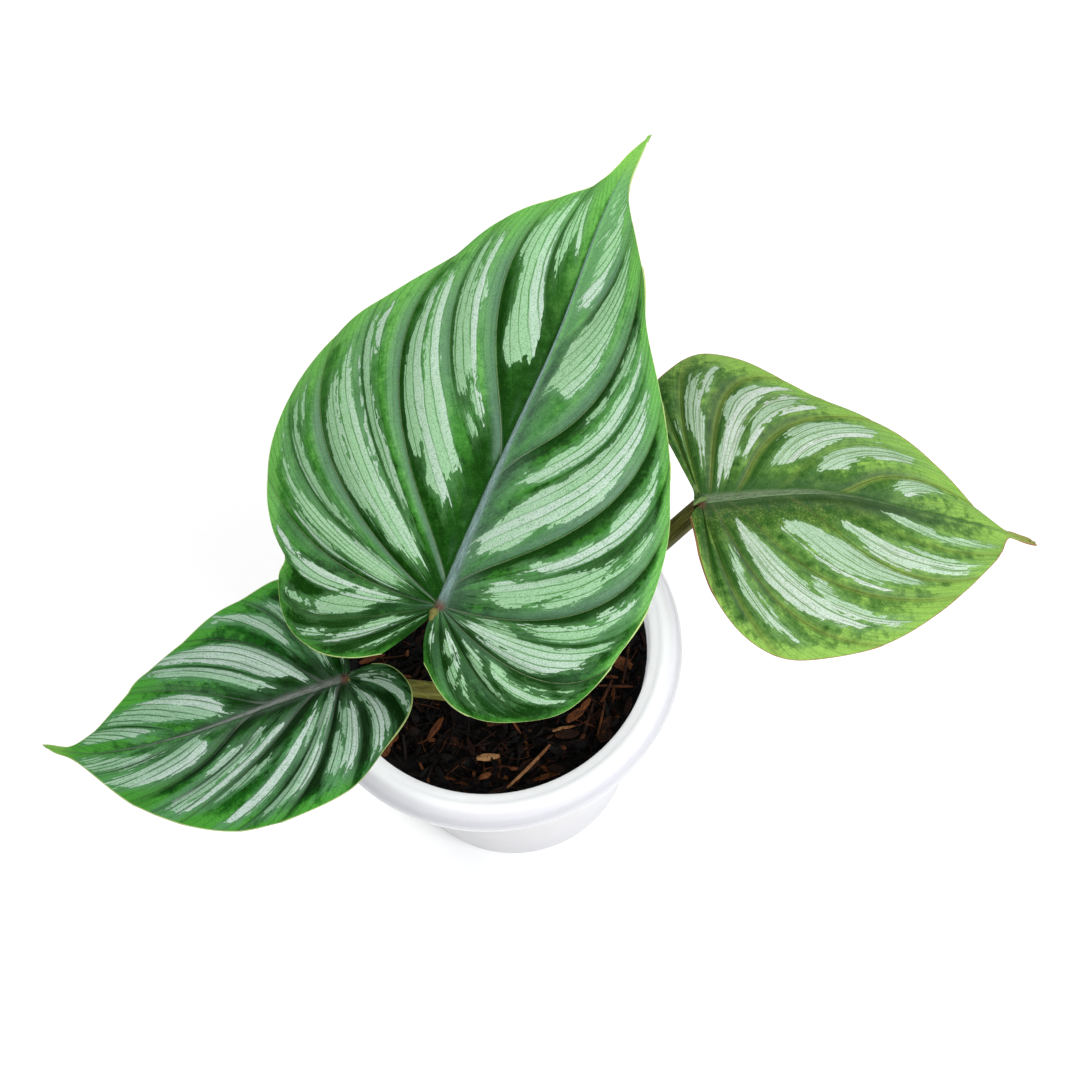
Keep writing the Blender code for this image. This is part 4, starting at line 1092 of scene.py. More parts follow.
def half_fields(name, leaf, side, half, veins, t):
    """Fields of one half, each with a row per column of the grid and a value per share."""
    last = half["count"][-1]
    centres = [vein_line(half, v, [0.6])[0] for v in range(last + 1)]
    running = np.concatenate([[0.0], np.cumsum([np.hypot(*(b - a)) for a, b in zip(centres, centres[1:])])])
    lists = {}
    for vein in veins:
        line = vein_line(half, vein, t)
        low, high = max(vein - 0.04, 0), min(vein + 0.04, last)
        step = (vein_line(half, high, t) - vein_line(half, low, t)) / (high - low)
        ahead = np.gradient(line, axis=0)
        ahead = ahead / np.maximum(np.hypot(*ahead.T), 1e-6)[:, None]
        gap = np.abs(step[:, 0] * ahead[:, 1] - step[:, 1] * ahead[:, 0])
        length = float(np.hypot(*np.diff(line, axis=0).T).sum())
        off = np.hypot(line[:, 1] - np.interp(line[:, 0], *half["midrib"].T), np.maximum(0, -line[:, 0]))
        reach = line[:, 0] / leaf["length"]
        crease = 0.9 * np.exp(-(off / 2.6) ** 2) - 0.75 * np.exp(-(off / (0.5 + 0.7 * (1 - reach))) ** 2)
        crease = crease * np.clip(1 - reach, 0, 1) ** 0.5
        height = relief(leaf, half, vein, t) - crease * np.clip(1 + line[:, 0] / 4, 0, 1)
        wide = np.interp(vein, half["count"], running)
        unit = np.interp(vein, half["count"][:-1] + 0.5, np.diff(running))
        made = {
            "flat": place_on_leaf(leaf, line[:, 0], line[:, 1], np.zeros(len(t))) * MM,
            "place": place_on_leaf(leaf, line[:, 0], line[:, 1], height + SKIN_LIFT) * MM,
            "across": np.full(len(t), wide + (RIGHT_HALF_AT if side < 0 else 0)), "along": t * length,
            "vein": np.full(len(t), vein), "gap": gap, "share": t, "inset": (1 - t) * length, "off": off,
            "depth": np.full(len(t), np.interp(vein, half["count"], half["depth"])),
            "reach": reach, "squeeze": gap / unit,
            "silver": streak_field(STREAKS[name, side], vein, t, gap, length)}
        for field, values in made.items():
            lists.setdefault(field, []).append(values)
    return {field: np.array(values) for field, values in lists.items()}


def facing(places):
    """Unit normals of a grid of places."""
    normals = np.cross(np.gradient(places, axis=0), np.gradient(places, axis=1))
    return normals / np.maximum(np.linalg.norm(normals, axis=-1, keepdims=True), 1e-12)


def sheet_fields(name, leaf):
    """Fields over the whole grid, and those of the right half where it meets the midrib."""
    halves = {side: read_half(leaf, side) for side in (+1, -1)}
    columns = sheet_columns(leaf, halves)
    t = (np.arange(ROWS + 1) / ROWS) ** 1.25
    left = half_fields(name, leaf, +1, halves[+1], columns[:, 0], t)
    right = half_fields(name, leaf, -1, halves[-1], columns[:, 1], t)
    whole = {field: np.concatenate([right[field][:, :0:-1], left[field]], axis=1) for field in left}
    # How far the relief's slopes lean toward SHEEN_SIDE, which the finish turns into painted light and
    # shade.
    whole["lean"] = (facing(whole["place"]) - facing(whole["flat"])) @ SHEEN_SIDE
    seam = {field: right[field][:, 0] for field in ("across", "along", "vein", "gap")}
    return whole, seam


# %% Sheet from a grid primitive
FIELDS = ("share", "inset", "off", "depth", "reach", "squeeze", "silver", "lean")


def make_sheet(name, leaf):
    whole, seam = sheet_fields(name, leaf)
    wide, high = whole["share"].shape
    pick()
    bpy.ops.mesh.primitive_grid_add(x_subdivisions=wide - 1, y_subdivisions=high - 1, size=1)
    sheet = added("blade_" + name)
    mesh = sheet.data
    spots = np.empty(len(mesh.vertices) * 3, np.float32)
    mesh.vertices.foreach_get("co", spots)
    spots = spots.reshape(-1, 3)
    column = np.rint((spots[:, 0] + 0.5) * (wide - 1)).astype(int)
    row = np.rint((spots[:, 1] + 0.5) * (high - 1)).astype(int)
    mesh.vertices.foreach_set("co", whole["place"][column, row].astype(np.float32).ravel())
    for field in FIELDS:
        values = mesh.attributes.new(field, 'FLOAT', 'POINT')
        values.data.foreach_set("value", whole[field][column, row].astype(np.float32))
    corners = np.empty(len(mesh.loops), np.int32)
    mesh.loops.foreach_get("vertex_index", corners)
    column, row = column[corners], row[corners]
    right_half = np.repeat(row.reshape(-1, 4).min(axis=1) < ROWS, 4)
    at_seam = right_half & (row == ROWS)
    while mesh.uv_layers:
        mesh.uv_layers.remove(mesh.uv_layers[0])
    for title, pair in (("flow", ("across", "along")), ("veins", ("vein", "gap"))):
        layer = mesh.uv_layers.new(name=title)
        both = [np.where(at_seam, seam[field][column], whole[field][column, row]) for field in pair]
        layer.uv.foreach_set("vector", np.stack(both, axis=1).astype(np.float32).ravel())
    return sheet, whole


def rib_group(sheet, whole):
    """Weights for the thickness: full under the foot of the midrib, less under the veins."""
    width = 1.5 + 1.2 * (1 - whole["reach"])
    midrib = np.exp(-(whole["off"] / width) ** 2) * (1.05 - whole["reach"])
    midrib = midrib * np.clip(1.3 + whole["reach"] * 8, 0, 1)
    line = np.abs(whole["vein"] - np.rint(whole["vein"])) * whole["gap"]
    vein = 0.35 * whole["depth"] * np.exp(-(line / 0.8) ** 2) * (1 - whole["share"])
    weights = np.clip(np.maximum(midrib, vein), 0, 1)
    ribs = sheet.vertex_groups.new(name="ribs")
    wide, high = weights.shape
    for index in range(len(sheet.data.vertices)):
        ribs.add([index], float(weights[index % wide, index // wide]), 'REPLACE')


def thicken(sheet):
    """Thickness below the sheet, with ribs under the veins and another finish underneath."""
    body = sheet.modifiers.new("body", 'SOLIDIFY')
    body.thickness = (THICK + RIB) * MM
    body.offset = -1
    body.vertex_group = "ribs"
    body.thickness_vertex_group = THICK / (THICK + RIB)
    body.material_offset = 1
    bpy.context.view_layer.objects.active = sheet
    bpy.ops.object.modifier_apply(modifier=body.name)
    smooth(sheet, 60)


def face_up(sheet):
    """Weld the fan of basal columns and turn the sheet's upper side outward."""
    open_mesh(sheet)
    bpy.ops.mesh.select_all(action='SELECT')
    bpy.ops.mesh.remove_doubles(threshold=2e-5)
    bpy.ops.mesh.normals_make_consistent(inside=False)
    close_mesh()
    if sum(face.normal.z * face.area for face in sheet.data.polygons) < 0:
        open_mesh(sheet)
        bpy.ops.mesh.select_all(action='SELECT')
        bpy.ops.mesh.flip_normals()
        close_mesh()


sheets = {}
for name, leaf in LEAVES.items():
    sheets[name], fields = make_sheet(name, leaf)
    rib_group(sheets[name], fields)
    face_up(sheets[name])
    print(name, "columns and rows:", fields["share"].shape)

# %% [markdown]
# ## Leaves: their finish
#
# The blade is satin, deep green and faintly speckled. A painted image could hold all of
# it, but an image has one size and slides on a new mesh. So the finish is sums on the
# vein fields, which bend with the blade and keep one scale in millimetres.
#
# The silver is flat and pale, and whiter on the slopes that lean to the light as a painted
# highlight. Fine veinlets cut it into strips that end at different places, which tears its
# edges, and a fringe of paler green lies round it. Main veins are thin pale lines, and
# painted shade darkens the blade toward them as in a groove. A grey haze, partly waxy bloom
# and partly painted sheen, lies on the slopes that lean to the light and beside the midrib,
# and painted shade makes the opposite slopes a deep green. A fine net of dark cells shows
# where a blade is paler. Each leaf has its own colours and shares. A pair of shares is one
# for each half of the blade.

# %% Leaf colours
LOOKS = {
    "large": {
        "dark": (0.0030, 0.034, 0.0004), "mid": (0.036, 0.175, 0.020), "light": (0.130, 0.385, 0.075),
        "silver": (0.260, 0.455, 0.260), "white": (0.425, 0.530, 0.460),
        "fringe": (0.110, 0.270, 0.105), "bloom_and_sheen_colour": (0.100, 0.190, 0.130), "vein": (0.150, 0.200, 0.110),
        "band": (0.02, 0.11, 0.02), "midrib": (0.150, 0.225, 0.215), "edge": (0.42, 0.54, 0.20),
        "tip": (0.19, 0.46, 0.075), "under": (0.12, 0.22, 0.08), "rough": 0.42, "banded": 0.0,
        "vein_and_groove_shade": 0.70, "mottled": 0.05, "deep": (1.0, 0.0), "deep_end": 0.85, "bloom_and_sheen": (0.0, 0.60),
        "bloom_and_sheen_reach": 13.0, "rim": 1.0, "net": 0.0, "root": 0.15, "ridge": (1.0, 1.0), "tone": 0.29,
        "tipward": 0.40, "threads": 0.25, "fringed": 0.22, "sheen_amount": 1.0, "ridge_end": 0.92,
        "wider": 0.05, "outer": (0.34, 0.12), "sunk": 0.34, "lobed": 0.85, "wash_and_sheen": (0.0, 0.85),
        "jags": (1.4, 0.7, 1.2), "fingers": 1.6, "broad": (1.0, 1.0)},
    "right": {
        "dark": (0.018, 0.072, 0.008), "mid": (0.078, 0.178, 0.034), "light": (0.225, 0.405, 0.075),
        "silver": (0.33, 0.47, 0.33), "white": (0.475, 0.530, 0.490), "fringe": (0.150, 0.300, 0.100),
        "bloom_and_sheen_colour": (0.042, 0.072, 0.044), "vein": (0.075, 0.060, 0.014), "band": (0.190, 0.275, 0.055),
        "midrib": (0.125, 0.175, 0.098), "edge": (0.30, 0.14, 0.07), "tip": (0.20, 0.22, 0.06),
        "under": (0.13, 0.20, 0.07), "rough": 0.45, "banded": 0.62, "vein_and_groove_shade": 0.25, "mottled": 0.65,
        "deep": (0.60, 0.95), "deep_end": 0.70, "bloom_and_sheen": (0.65, 1.0), "bloom_and_sheen_reach": 8.0, "rim": 0.55,
        "net": 0.95, "root": 0.15, "ridge": (1.0, 0.15), "tone": 0.36, "tipward": 0.38, "threads": 0.9,
        "fringed": 0.15, "sheen_amount": 1.0, "ridge_end": 0.55, "wider": 0.05, "outer": (0.30, 0.14),
        "sunk": 0.20, "lobed": 0.45, "wash_and_sheen": (0.0, 0.0), "jags": (1.6, 0.6, 1.0), "fingers": 1.8,
        "broad": (2.4, 1.0)},
    "left": {
        "dark": (0.0022, 0.017, 0.0017), "mid": (0.007, 0.080, 0.005), "light": (0.058, 0.270, 0.032),
        "silver": (0.24, 0.395, 0.265), "white": (0.41, 0.505, 0.455), "fringe": (0.085, 0.245, 0.095),
        "bloom_and_sheen_colour": (0.092, 0.124, 0.112), "vein": (0.080, 0.095, 0.080), "band": (0.02, 0.09, 0.02),
        "midrib": (0.150, 0.165, 0.150), "edge": (0.34, 0.43, 0.16), "tip": (0.16, 0.38, 0.06),
        "under": (0.10, 0.19, 0.08), "rough": 0.38, "banded": 0.0, "vein_and_groove_shade": 0.80, "mottled": 0.20,
        "deep": (0.70, 0.85), "deep_end": 0.60, "bloom_and_sheen": (0.35, 0.30), "bloom_and_sheen_reach": 3.2, "rim": 0.55,
        "net": 0.0, "root": 0.45, "ridge": (1.0, 1.0), "tone": 0.20, "tipward": 0.75, "threads": 0.5,
        "fringed": 0.50, "sheen_amount": 0.55, "ridge_end": 0.85, "wider": 0.30, "outer": (0.12, 0.12),
        "sunk": 0.20, "lobed": 0.45, "wash_and_sheen": (0.0, 0.0), "jags": (1.4, 0.7, 1.0), "fingers": 1.4,
        "broad": (0.8, 0.8)},
}


def lighter(colour, times):
    return tuple(min(1.0, times * share) for share in colour)


print("looks:", {name: len(look) for name, look in LOOKS.items()})


# %% Leaf finish


def blade_finish(name, look, top=True):
    made = Finish("blade_" + name if top else "underside_" + name)
    place = made.place()
    across, along = made.split(made.node('ShaderNodeUVMap', {"uv_map": "flow"}))[:2]
    vein, gap = made.split(made.node('ShaderNodeUVMap', {"uv_map": "veins"}))[:2]
    share, inset, off, depth, reach, squeeze, silver, lean = (made.attribute(field) for field in FIELDS)
    right_half = across.ramp(RIGHT_HALF_AT - 100, RIGHT_HALF_AT - 99)

    def by_half(pair):
        """A look's two values, one for each half of the blade."""
        first, second = pair
        return first + right_half * (second - first)

    # Noises, most of them stretched along the veins.
    soft = made.noise(made.along(across * 0.20, along * 0.08), 1.0, 3.0, 0.55)
    teeth = made.noise(made.along(across * 0.75, along * 0.07), 1.0, 3.0, 0.55)
    torn = made.noise(made.along(across * 1.9, along * 0.55, 3.0), 1.0, 3.0, 0.6)
    blocks = made.node('ShaderNodeTexVoronoi', {"distance": 'CHEBYCHEV'},
                       {"Vector": made.along(across * 1.0, along * 0.42, 7.0), "Scale": 1.0}, output=1)
    block = made.node('ShaderNodeSeparateColor', None, {0: blocks})
    fine = made.noise(made.along(across * 1.1, along * 0.12, 11.0), 1.0, 3.0, 0.6)
    grain = made.noise(place, 2600.0, 2.0, 0.6)
    speck = made.noise(place, 950.0, 3.0, 0.65)
    patch = made.noise(place, 330.0, 4.0, 0.62)
    cells = made.node('ShaderNodeTexVoronoi', {"feature": 'DISTANCE_TO_EDGE'},
                      {"Vector": place, "Scale": 900.0})
    net = cells.ramp(0.18, 0.03)

    # Fine veinlets, and the strips of blade between them.
    wander = (made.noise(made.along(across * 0.16, along * 0.045, 5.0), 1.0, 2.0) - 0.5) * 2.4
    spread = across / 3.0 + wander * 0.35
    thread = (across / 1.15 + wander).zigzag(0.5) * 1.15 * squeeze
    broken = made.noise(made.along(across * 0.5, along * 0.08, 17.0), 1.0, 2.0)
    veinlet = (spread.zigzag(0.5) * 3.0 * squeeze).ramp(0.28, 0.08) * broken.ramp(0.28, 0.42)
    veinlet = veinlet.most(thread.ramp(0.17, 0.05) * broken.ramp(0.46, 0.58) * look["threads"])
    strip = made.node('ShaderNodeTexWhiteNoise', {"noise_dimensions": '1D'},
                      {"W": spread.maths('FLOOR', spread)})
    slant = spread.maths('FRACT', spread)

    # Distance to the nearest vein, and where the silver and its fringe lie.
    line = vein.zigzag(0.5) * gap
    narrow = squeeze.ramp(0.0, 1.0, 0.30, 1.0)
    main = depth.ramp(0.72, 0.95)
    any_vein = depth.ramp(0.1, 0.5) * main.most(share.ramp(0.12, 0.42))
    rough, finer, steps = look["jags"]
    field = silver + (teeth - 0.5) * rough + (torn - 0.5) * finer + (block - 0.5) * steps
    field = field + look["wider"] + (strip - 0.5 + (slant - 0.5) * 0.4) * look["fingers"]
    bright = (field - line.ramp(1.2, 0.2) * any_vein * 1.5).ramp(-0.08, 0.08)
    fringe = (field + (fine - 0.5) * 2.2).ramp(-2.4, -0.5)

    # The green of the blade, from its dark folds to its pale rim, with painted light and shade
    # on its slopes.
    tone = look["tone"] + (patch - 0.5) * (0.7 + 1.6 * look["mottled"])
    tone = tone + (soft - 0.5) * 0.9 + (speck - 0.5) * 0.5
    rim = inset.ramp(14.0, 0.0) * reach.ramp(-0.10, 0.14, 0.40, 1.0) * look["rim"]
    # Painted light and shade: the tone rises on slopes that lean to the light and falls on the others.
    tone = tone + lean * 0.8 + share * by_half(look["outer"]) + rim + reach * look["tipward"]
    tone = tone - reach.ramp(0.10, -0.10) * look["sunk"]
    colour = made.blend(tone.ramp(0.12, 0.55), look["dark"], look["mid"])
    colour = made.blend(tone.ramp(0.50, 1.00), colour, look["light"])
    fringe = fringe * reach.ramp(-0.10, 0.10, 0.7, 1.0)
    colour = made.blend(fringe * (look["fringed"] + soft * 0.6), colour, look["fringe"])
    # Darker green near the midrib and in the basal lobes: partly the leaf's own deep green, partly painted
    # shade on the half turned from the light.
    deep = off.ramp(15.0, 4.0) * reach.ramp(look["deep_end"], look["deep_end"] - 0.35)
    deep = deep * by_half(look["deep"])
    deep = deep.most(off.ramp(30.0, 6.0) * reach.ramp(0.02, -0.05) * look["lobed"])
    colour = made.blend(deep * (1.10 - patch * 0.4), colour, look["dark"])
    near = (line / narrow).ramp(8.5, 1.0) * any_vein
    # Grey haze, partly waxy bloom and partly painted sheen: on slopes near the veins that lean to the
    # light, and beside the midrib by half.
    bloom_and_sheen = lean.ramp(-0.02, 0.32) * near * share.ramp(1.10, 0.60) * reach.ramp(1.10, 0.60)
    bloom_and_sheen = bloom_and_sheen * look["sheen_amount"] * reach.ramp(-0.10, 0.06, 0.30, 1.0)
    beside = off.ramp(look["bloom_and_sheen_reach"], 1.0) * reach.ramp(0.90, 0.45)
    beside = beside * reach.ramp(-0.05, 0.03, 0.25, 1.0)
    bloom_and_sheen = bloom_and_sheen.most(beside * by_half(look["bloom_and_sheen"]))
    colour = made.blend(bloom_and_sheen * (0.30 + soft * 0.5 + speck * 0.5), colour, look["bloom_and_sheen_colour"])
    # Painted shade: deep green on the vein slopes that lean away from the light.
    shaded = lean.ramp(-0.02, -0.28) * near * (1.0 - beside * 0.8)
    shaded = shaded * share.ramp(0.90, 0.45, 0.15, 1.0)
    colour = made.blend(shaded * 0.85, colour, look["dark"])
    # A pale wash beside the midrib on the right half, carrying the bloom and painted sheen toward the tip.
    wash_and_sheen = off.ramp(9.0, 3.0) * reach.ramp(0.50, 0.75) * reach.ramp(1.02, 0.93)
    wash_and_sheen = wash_and_sheen * by_half(look["wash_and_sheen"])
    colour = made.blend(wash_and_sheen * (0.6 + soft * 0.5), colour, lighter(look["fringe"], 1.5))
    colour = made.blend(veinlet * share.ramp(0.05, 0.40) * 0.22, colour, look["dark"])
    webbed = off.ramp(17.0, 5.0) * reach.ramp(0.60, 0.25) * right_half * look["net"]
    colour = made.blend(webbed * (patch.ramp(0.35, 0.65) * 0.45), colour, look["band"])
    colour = made.blend(net * (webbed * 0.75 + 0.10), colour, look["dark"])
    # Painted shade on the lower side of the midrib, on the right half.
    below = off.ramp(3.6, 1.2) * reach.ramp(0.75, 0.35) * right_half * look["net"]
    colour = made.blend(below * 0.85, colour, lighter(look["dark"], 0.45))

    # The silver.
    # The silver is whiter in some strips and, as a painted highlight, on slopes that lean to the light.
    paleness_and_highlight = strip * 0.85 + lean * 1.4 + (soft - 0.5) * 0.6
    paint = made.blend(paleness_and_highlight.ramp(0.25, 0.95), look["silver"], look["white"])
    mint = (look["silver"][0], look["silver"][1] * 1.25, look["silver"][2] * 0.9)
    paint = made.blend(reach.ramp(0.55, 0.92) * 0.7, paint, mint)
    paint = made.blend(speck.ramp(0.46, 0.28, 0.0, 0.45), paint, look["fringe"])
    paint = made.blend(grain.ramp(0.52, 0.34, 0.0, 0.42), paint, look["fringe"])
    paint = made.blend(grain.ramp(0.55, 0.72, 0.0, 0.45), paint, look["white"])
    paint = made.blend(veinlet * share.ramp(0.12, 0.40, 0.35, 0.80), paint, look["mid"])
    colour = made.blend(bright, colour, paint)

    # The veins.
    banded = (line / narrow).ramp(1.9, 0.4) * depth.ramp(0.3, 0.8)
    banded = banded * (1.0 - right_half * share.ramp(0.65, 0.20) * 0.85)
    colour = made.blend(banded * (0.25 + patch * 0.9) * look["banded"], colour, look["band"])
    outward = share.ramp(1.0, 0.6, 0.4, 1.0)
    # Painted shade: the blade darkens toward each vein as in its groove, and each vein is a dark line,
    # partly its own colour and partly painted shade.
    sides = (line / narrow).ramp(3.0, 0.2) * any_vein * outward
    colour = made.blend(sides * (0.25 * look["vein_and_groove_shade"]), colour, look["dark"])
    vein_line_and_groove_shade = (line / narrow).ramp(0.62, 0.15) * any_vein * (1.0 - main * 0.45) * outward
    colour = made.blend(vein_line_and_groove_shade * look["vein_and_groove_shade"], colour, look["dark"])
    root = share.ramp(0.20, 0.02) * main
    colour = made.blend((line - root * 0.35).ramp(0.26, 0.02) * root * look["root"], colour, look["midrib"])
    core = line.ramp(0.20, 0.09) * main * torn.ramp(0.30, 0.5, 0.25, 0.75)
    core = core * share.ramp(1.0, 0.4, 0.45, 1.0)
    colour = made.blend(core, colour, look["vein"])

    # The midrib.
    wide = off / ((0.22 + reach.ramp(0.60, -0.05) * 0.95) * by_half(look["broad"]))
    ahead = reach.ramp(-0.02, 0.02)
    # Painted shade along both feet of the raised midrib, stronger on the left half.
    foot = wide.ramp(2.4, 1.0) * ahead * reach.ramp(0.92, 0.75) * (0.65 - right_half * 0.4)
    colour = made.blend(foot, colour, look["dark"])
    strands = made.noise(made.along(off * 1.6 + right_half * 9.0, reach * 34.0), 1.0, 4.0, 0.65)
    frayed = wide - right_half * 0.25 + (strands - 0.5) * 1.1
    ridge = frayed.ramp(1.30, 0.70).most(frayed.ramp(2.40, 0.80) * right_half * 0.55)
    ridge = ridge * ahead * reach.ramp(look["ridge_end"], look["ridge_end"] - 0.35, 0.30, 1.0)
    midrib = look["midrib"]
    rib = made.blend(strands.ramp(0.30, 0.66), lighter(midrib, 0.62), lighter(midrib, 1.2))
    # Painted highlight along the crest of the midrib.
    crest_highlight = wide.ramp(0.50, 0.05) * strands.ramp(0.40, 0.60)
    rib = made.blend(crest_highlight * 0.6, rib, lighter(midrib, 1.5))
    rib = made.blend(speck.ramp(0.48, 0.30, 0.0, 0.45), rib, lighter(midrib, 0.6))
    colour = made.blend(ridge * (0.55 + soft * 0.6) * by_half(look["ridge"]), colour, rib)

    # The foot at the stalk, the tip, the margin and the grain.
    attached = off.ramp(2.4, 0.5) * reach.ramp(0.018, -0.004) * reach.ramp(-0.035, -0.015)
    colour = made.blend(attached * (0.5 + speck * 0.6), colour, (0.13, 0.045, 0.035))
    colour = made.blend(reach.ramp(0.86, 0.95) * 0.9, colour, look["tip"])
    colour = made.blend(inset.ramp(0.62, 0.34) * (0.5 + torn * 0.8), colour, look["edge"])
    colour = made.blend(grain.ramp(0.48, 0.30, 0.0, 0.32), colour, look["dark"])
    colour = made.blend(grain.ramp(0.58, 0.76, 0.0, 0.16), colour, lighter(look["light"], 1.2))
    if not top:
        raised = (line.ramp(1.1, 0.3) * any_vein).most(ridge)
        colour = made.blend(raised * 0.6, look["under"], lighter(look["under"], 1.5))
        colour = made.blend(fine.ramp(0.3, 0.8) * 0.35, colour, look["mid"])
        colour = made.blend(reach.ramp(0.90, 0.98), colour, look["tip"])
    height = 0.5 - veinlet * 0.4 + grain * 0.25 + speck * 0.3 - net * 0.12 + bright * 0.1
    made.set(Base_Color=colour, Roughness=look["rough"] + (fine - 0.5) * 0.2 + bright * 0.06,
             Coat_Weight=(bloom_and_sheen * 0.15).most(bright * 0.10), Coat_Roughness=0.35,
             Normal=made.bump(height, 0.00020, 0.8), IOR=1.45, Specular_IOR_Level=0.06)
    return made.material


for name, leaf in LEAVES.items():
    sheet = sheets[name]
    sheet.data.materials.clear()
    sheet.data.materials.append(blade_finish(name, LOOKS[name]))
    sheet.data.materials.append(blade_finish(name, LOOKS[name], top=False))
    thicken(sheet)
    dress(sheet, None, "blade_" + name, "leaf_" + name)

# %% [markdown]
# ## Stalks and stem
#
# A stalk is firm, round below and channelled above, olive with faint stripes. It could
# be a bevelled curve, but a curve can't taper into a channelled section, so a cylinder
# primitive is cut across many times and each ring of it is laid round the stalk's line.

# %% Stalk finish


def stalk_finish():
    made = Finish("olive_stem")
    place = made.place()
    round_about = made.attribute("turn")
    down = made.attribute("run")
    stripe = made.noise(made.along(round_about * 9.0, down * 6.0), 1.0, 4.0, 0.6)
    thin = made.noise(made.along(round_about * 46.0, down * 9.0, 4.0), 1.0, 3.0, 0.6)
    speck = made.noise(place, 900.0, 2.0)
    colour = made.blend(stripe.ramp(0.32, 0.68), (0.040, 0.040, 0.004), (0.125, 0.122, 0.018))
    colour = made.blend(thin.ramp(0.50, 0.72, 0.0, 0.55), colour, (0.26, 0.245, 0.080))
    colour = made.blend(thin.ramp(0.46, 0.30, 0.0, 0.5), colour, (0.045, 0.035, 0.012))
    colour = made.blend(down.ramp(0.965, 1.0) * 0.6, colour, (0.14, 0.055, 0.030))
    colour = made.blend(down.ramp(0.22, 0.0) * 0.6, colour, (0.05, 0.030, 0.012))
    colour = made.blend(speck.ramp(0.66, 0.76, 0.0, 0.4), colour, (0.30, 0.28, 0.14))
    made.set(Base_Color=colour, Roughness=0.36 + stripe * 0.2, IOR=1.42, Specular_IOR_Level=0.2,
             Normal=made.bump(thin * 0.7 + speck * 0.3, 0.0002))
    return made.material


olive = stalk_finish()
print("finish:", olive.name)

# %% Stalk lines
STALK_SIDES = 28
STALK_RINGS = 56
STALK_DROP = 2.1
STUB = 9.0
GAP_BELOW = 0.3
GAP_ABOVE = 0.4


def stalk_line(leaf):
    """Centre line from the crown to just under the blade, with the run at each point."""
    end = Vector(place_on_leaf(leaf, 0.0, 0.0, -STALK_DROP))
    middle = (CROWN + end) / 2 + Vector(leaf["stalk_sway"])
    line = []
    for t in np.linspace(0, 1, 121):
        line.append(CROWN * (1 - t) ** 2 + middle * (2 * t * (1 - t)) + end * t ** 2)
    run = [0.0]
    for before, after in zip(line, line[1:]):
        run.append(run[-1] + (after - before).length)
    return line, run


def on_line(line, run, distance):
    return Vector([np.interp(distance, run, [p[axis] for p in line]) for axis in range(3)])


def section(turn, channel):
    """Distance and height of a stalk's outline at an angle, for a radius of 1."""
    across = math.cos(turn)
    height = math.sin(turn)
    if height > 0:
        height = height * (1 - channel * math.exp(-(across / 0.55) ** 2))
        height = min(height, 0.66)
    return across, height


def cut_cylinder(name, sides, rings):
    """A closed cylinder of unit length and radius along Z, cut across at even steps."""
    pick()
    bpy.ops.mesh.primitive_cylinder_add(vertices=sides, radius=1, depth=1)
    piece = added(name)
    for step in range(1, rings):
        open_mesh(piece)
        bpy.ops.mesh.select_all(action='SELECT')
        bpy.ops.mesh.bisect(plane_co=(0, 0, step / rings - 0.5), plane_no=(0, 0, 1))
        close_mesh()
    return piece


def lay_along(piece, line, run, first, last, radius_at, channel, swell=0.0):
    """Lay a cut cylinder round a line between two distances along it."""
    turns, runs = [], []
    for corner in piece.data.vertices:
        part = corner.co.z + 0.5
        distance = first + (last - first) * part
        centre = on_line(line, run, distance)
        ahead = (on_line(line, run, distance + 0.5) - on_line(line, run, distance - 0.5)).normalized()
        aside = Vector((0, 0, 1)).cross(ahead)
        aside = aside.normalized() if aside.length > 0.2 else Vector((0, 1, 0))
        upper = ahead.cross(aside).normalized()
        aside = upper.cross(ahead).normalized()
        angle = math.atan2(corner.co.y, corner.co.x)
        across, height = section(angle, channel)
        radius = radius_at(part) * (1 + swell * math.sin(5 * part))
        corner.co = (centre + aside * (radius * across) + upper * (radius * height)) * MM
        turns.append(angle / math.pi)
        runs.append(part)
    for field, values in (("turn", turns), ("run", runs)):
        made = piece.data.attributes.new(field, 'FLOAT', 'POINT')
        made.data.foreach_set("value", values)


print("stalk lines:", {name: round(stalk_line(leaf)[1][-1], 1) for name, leaf in LEAVES.items()})

# %% Stalks
for name, leaf in LEAVES.items():
    line, run = stalk_line(leaf)
    thick, thin = leaf["stalk_radius"]
    stalk = cut_cylinder("stalk_of_" + name, STALK_SIDES, STALK_RINGS)
    lay_along(stalk, line, run, STUB + GAP_BELOW, run[-1] - GAP_ABOVE,
              lambda part: thick + (thin - thick) * part, 0.35)
    smooth(stalk, 50)
    dress(stalk, olive, "olive_stem", "stalk_" + name)

# %% Collars
COLLARS = {
    "large": ((2.3, 1.5, 1.6), 0.0),
    "right": ((1.2, 1.0, 1.0), -1.6),
    "left": ((1.3, 1.0, 1.0), -0.6),
}


def make_collar(name, leaf):
    """The blunt swelling of a stalk's end that shows in the notch of its blade."""
    size, lift = COLLARS[name]
    pick()
    bpy.ops.mesh.primitive_uv_sphere_add(segments=32, ring_count=20, radius=1)
    piece = added("collar")
    open_mesh(piece)
    select_where(piece, lambda place: place.x < -0.1)
    bpy.ops.transform.resize(value=(1, 0.7, 0.8), center_override=(0, 0, 0))
    close_mesh()
    middle = place_on_leaf(leaf, -1.3 * size[0], 0.4 * size[0], lift) * MM
    heading = Matrix.Rotation(math.radians(leaf["heading"]), 4, 'Z')
    grow = Matrix.Diagonal((*(axis * MM for axis in size), 1))
    piece.data.transform(Matrix.Translation(middle) @ heading @ grow)
    for field, value in (("turn", 0.3), ("run", 0.97)):
        made = piece.data.attributes.new(field, 'FLOAT', 'POINT')
        made.data.foreach_set("value", [value] * len(piece.data.vertices))
    smooth(piece, 180)
    return piece


collars = join_all([make_collar(name, leaf) for name, leaf in LEAVES.items()], "collars")
dress(collars, olive, "olive_stem")

# %% Rootstock
STEM_FOOT = 66.0
STEM_HEIGHT = 29.4
STEM_SIDES = 36
STEM_RINGS = 24


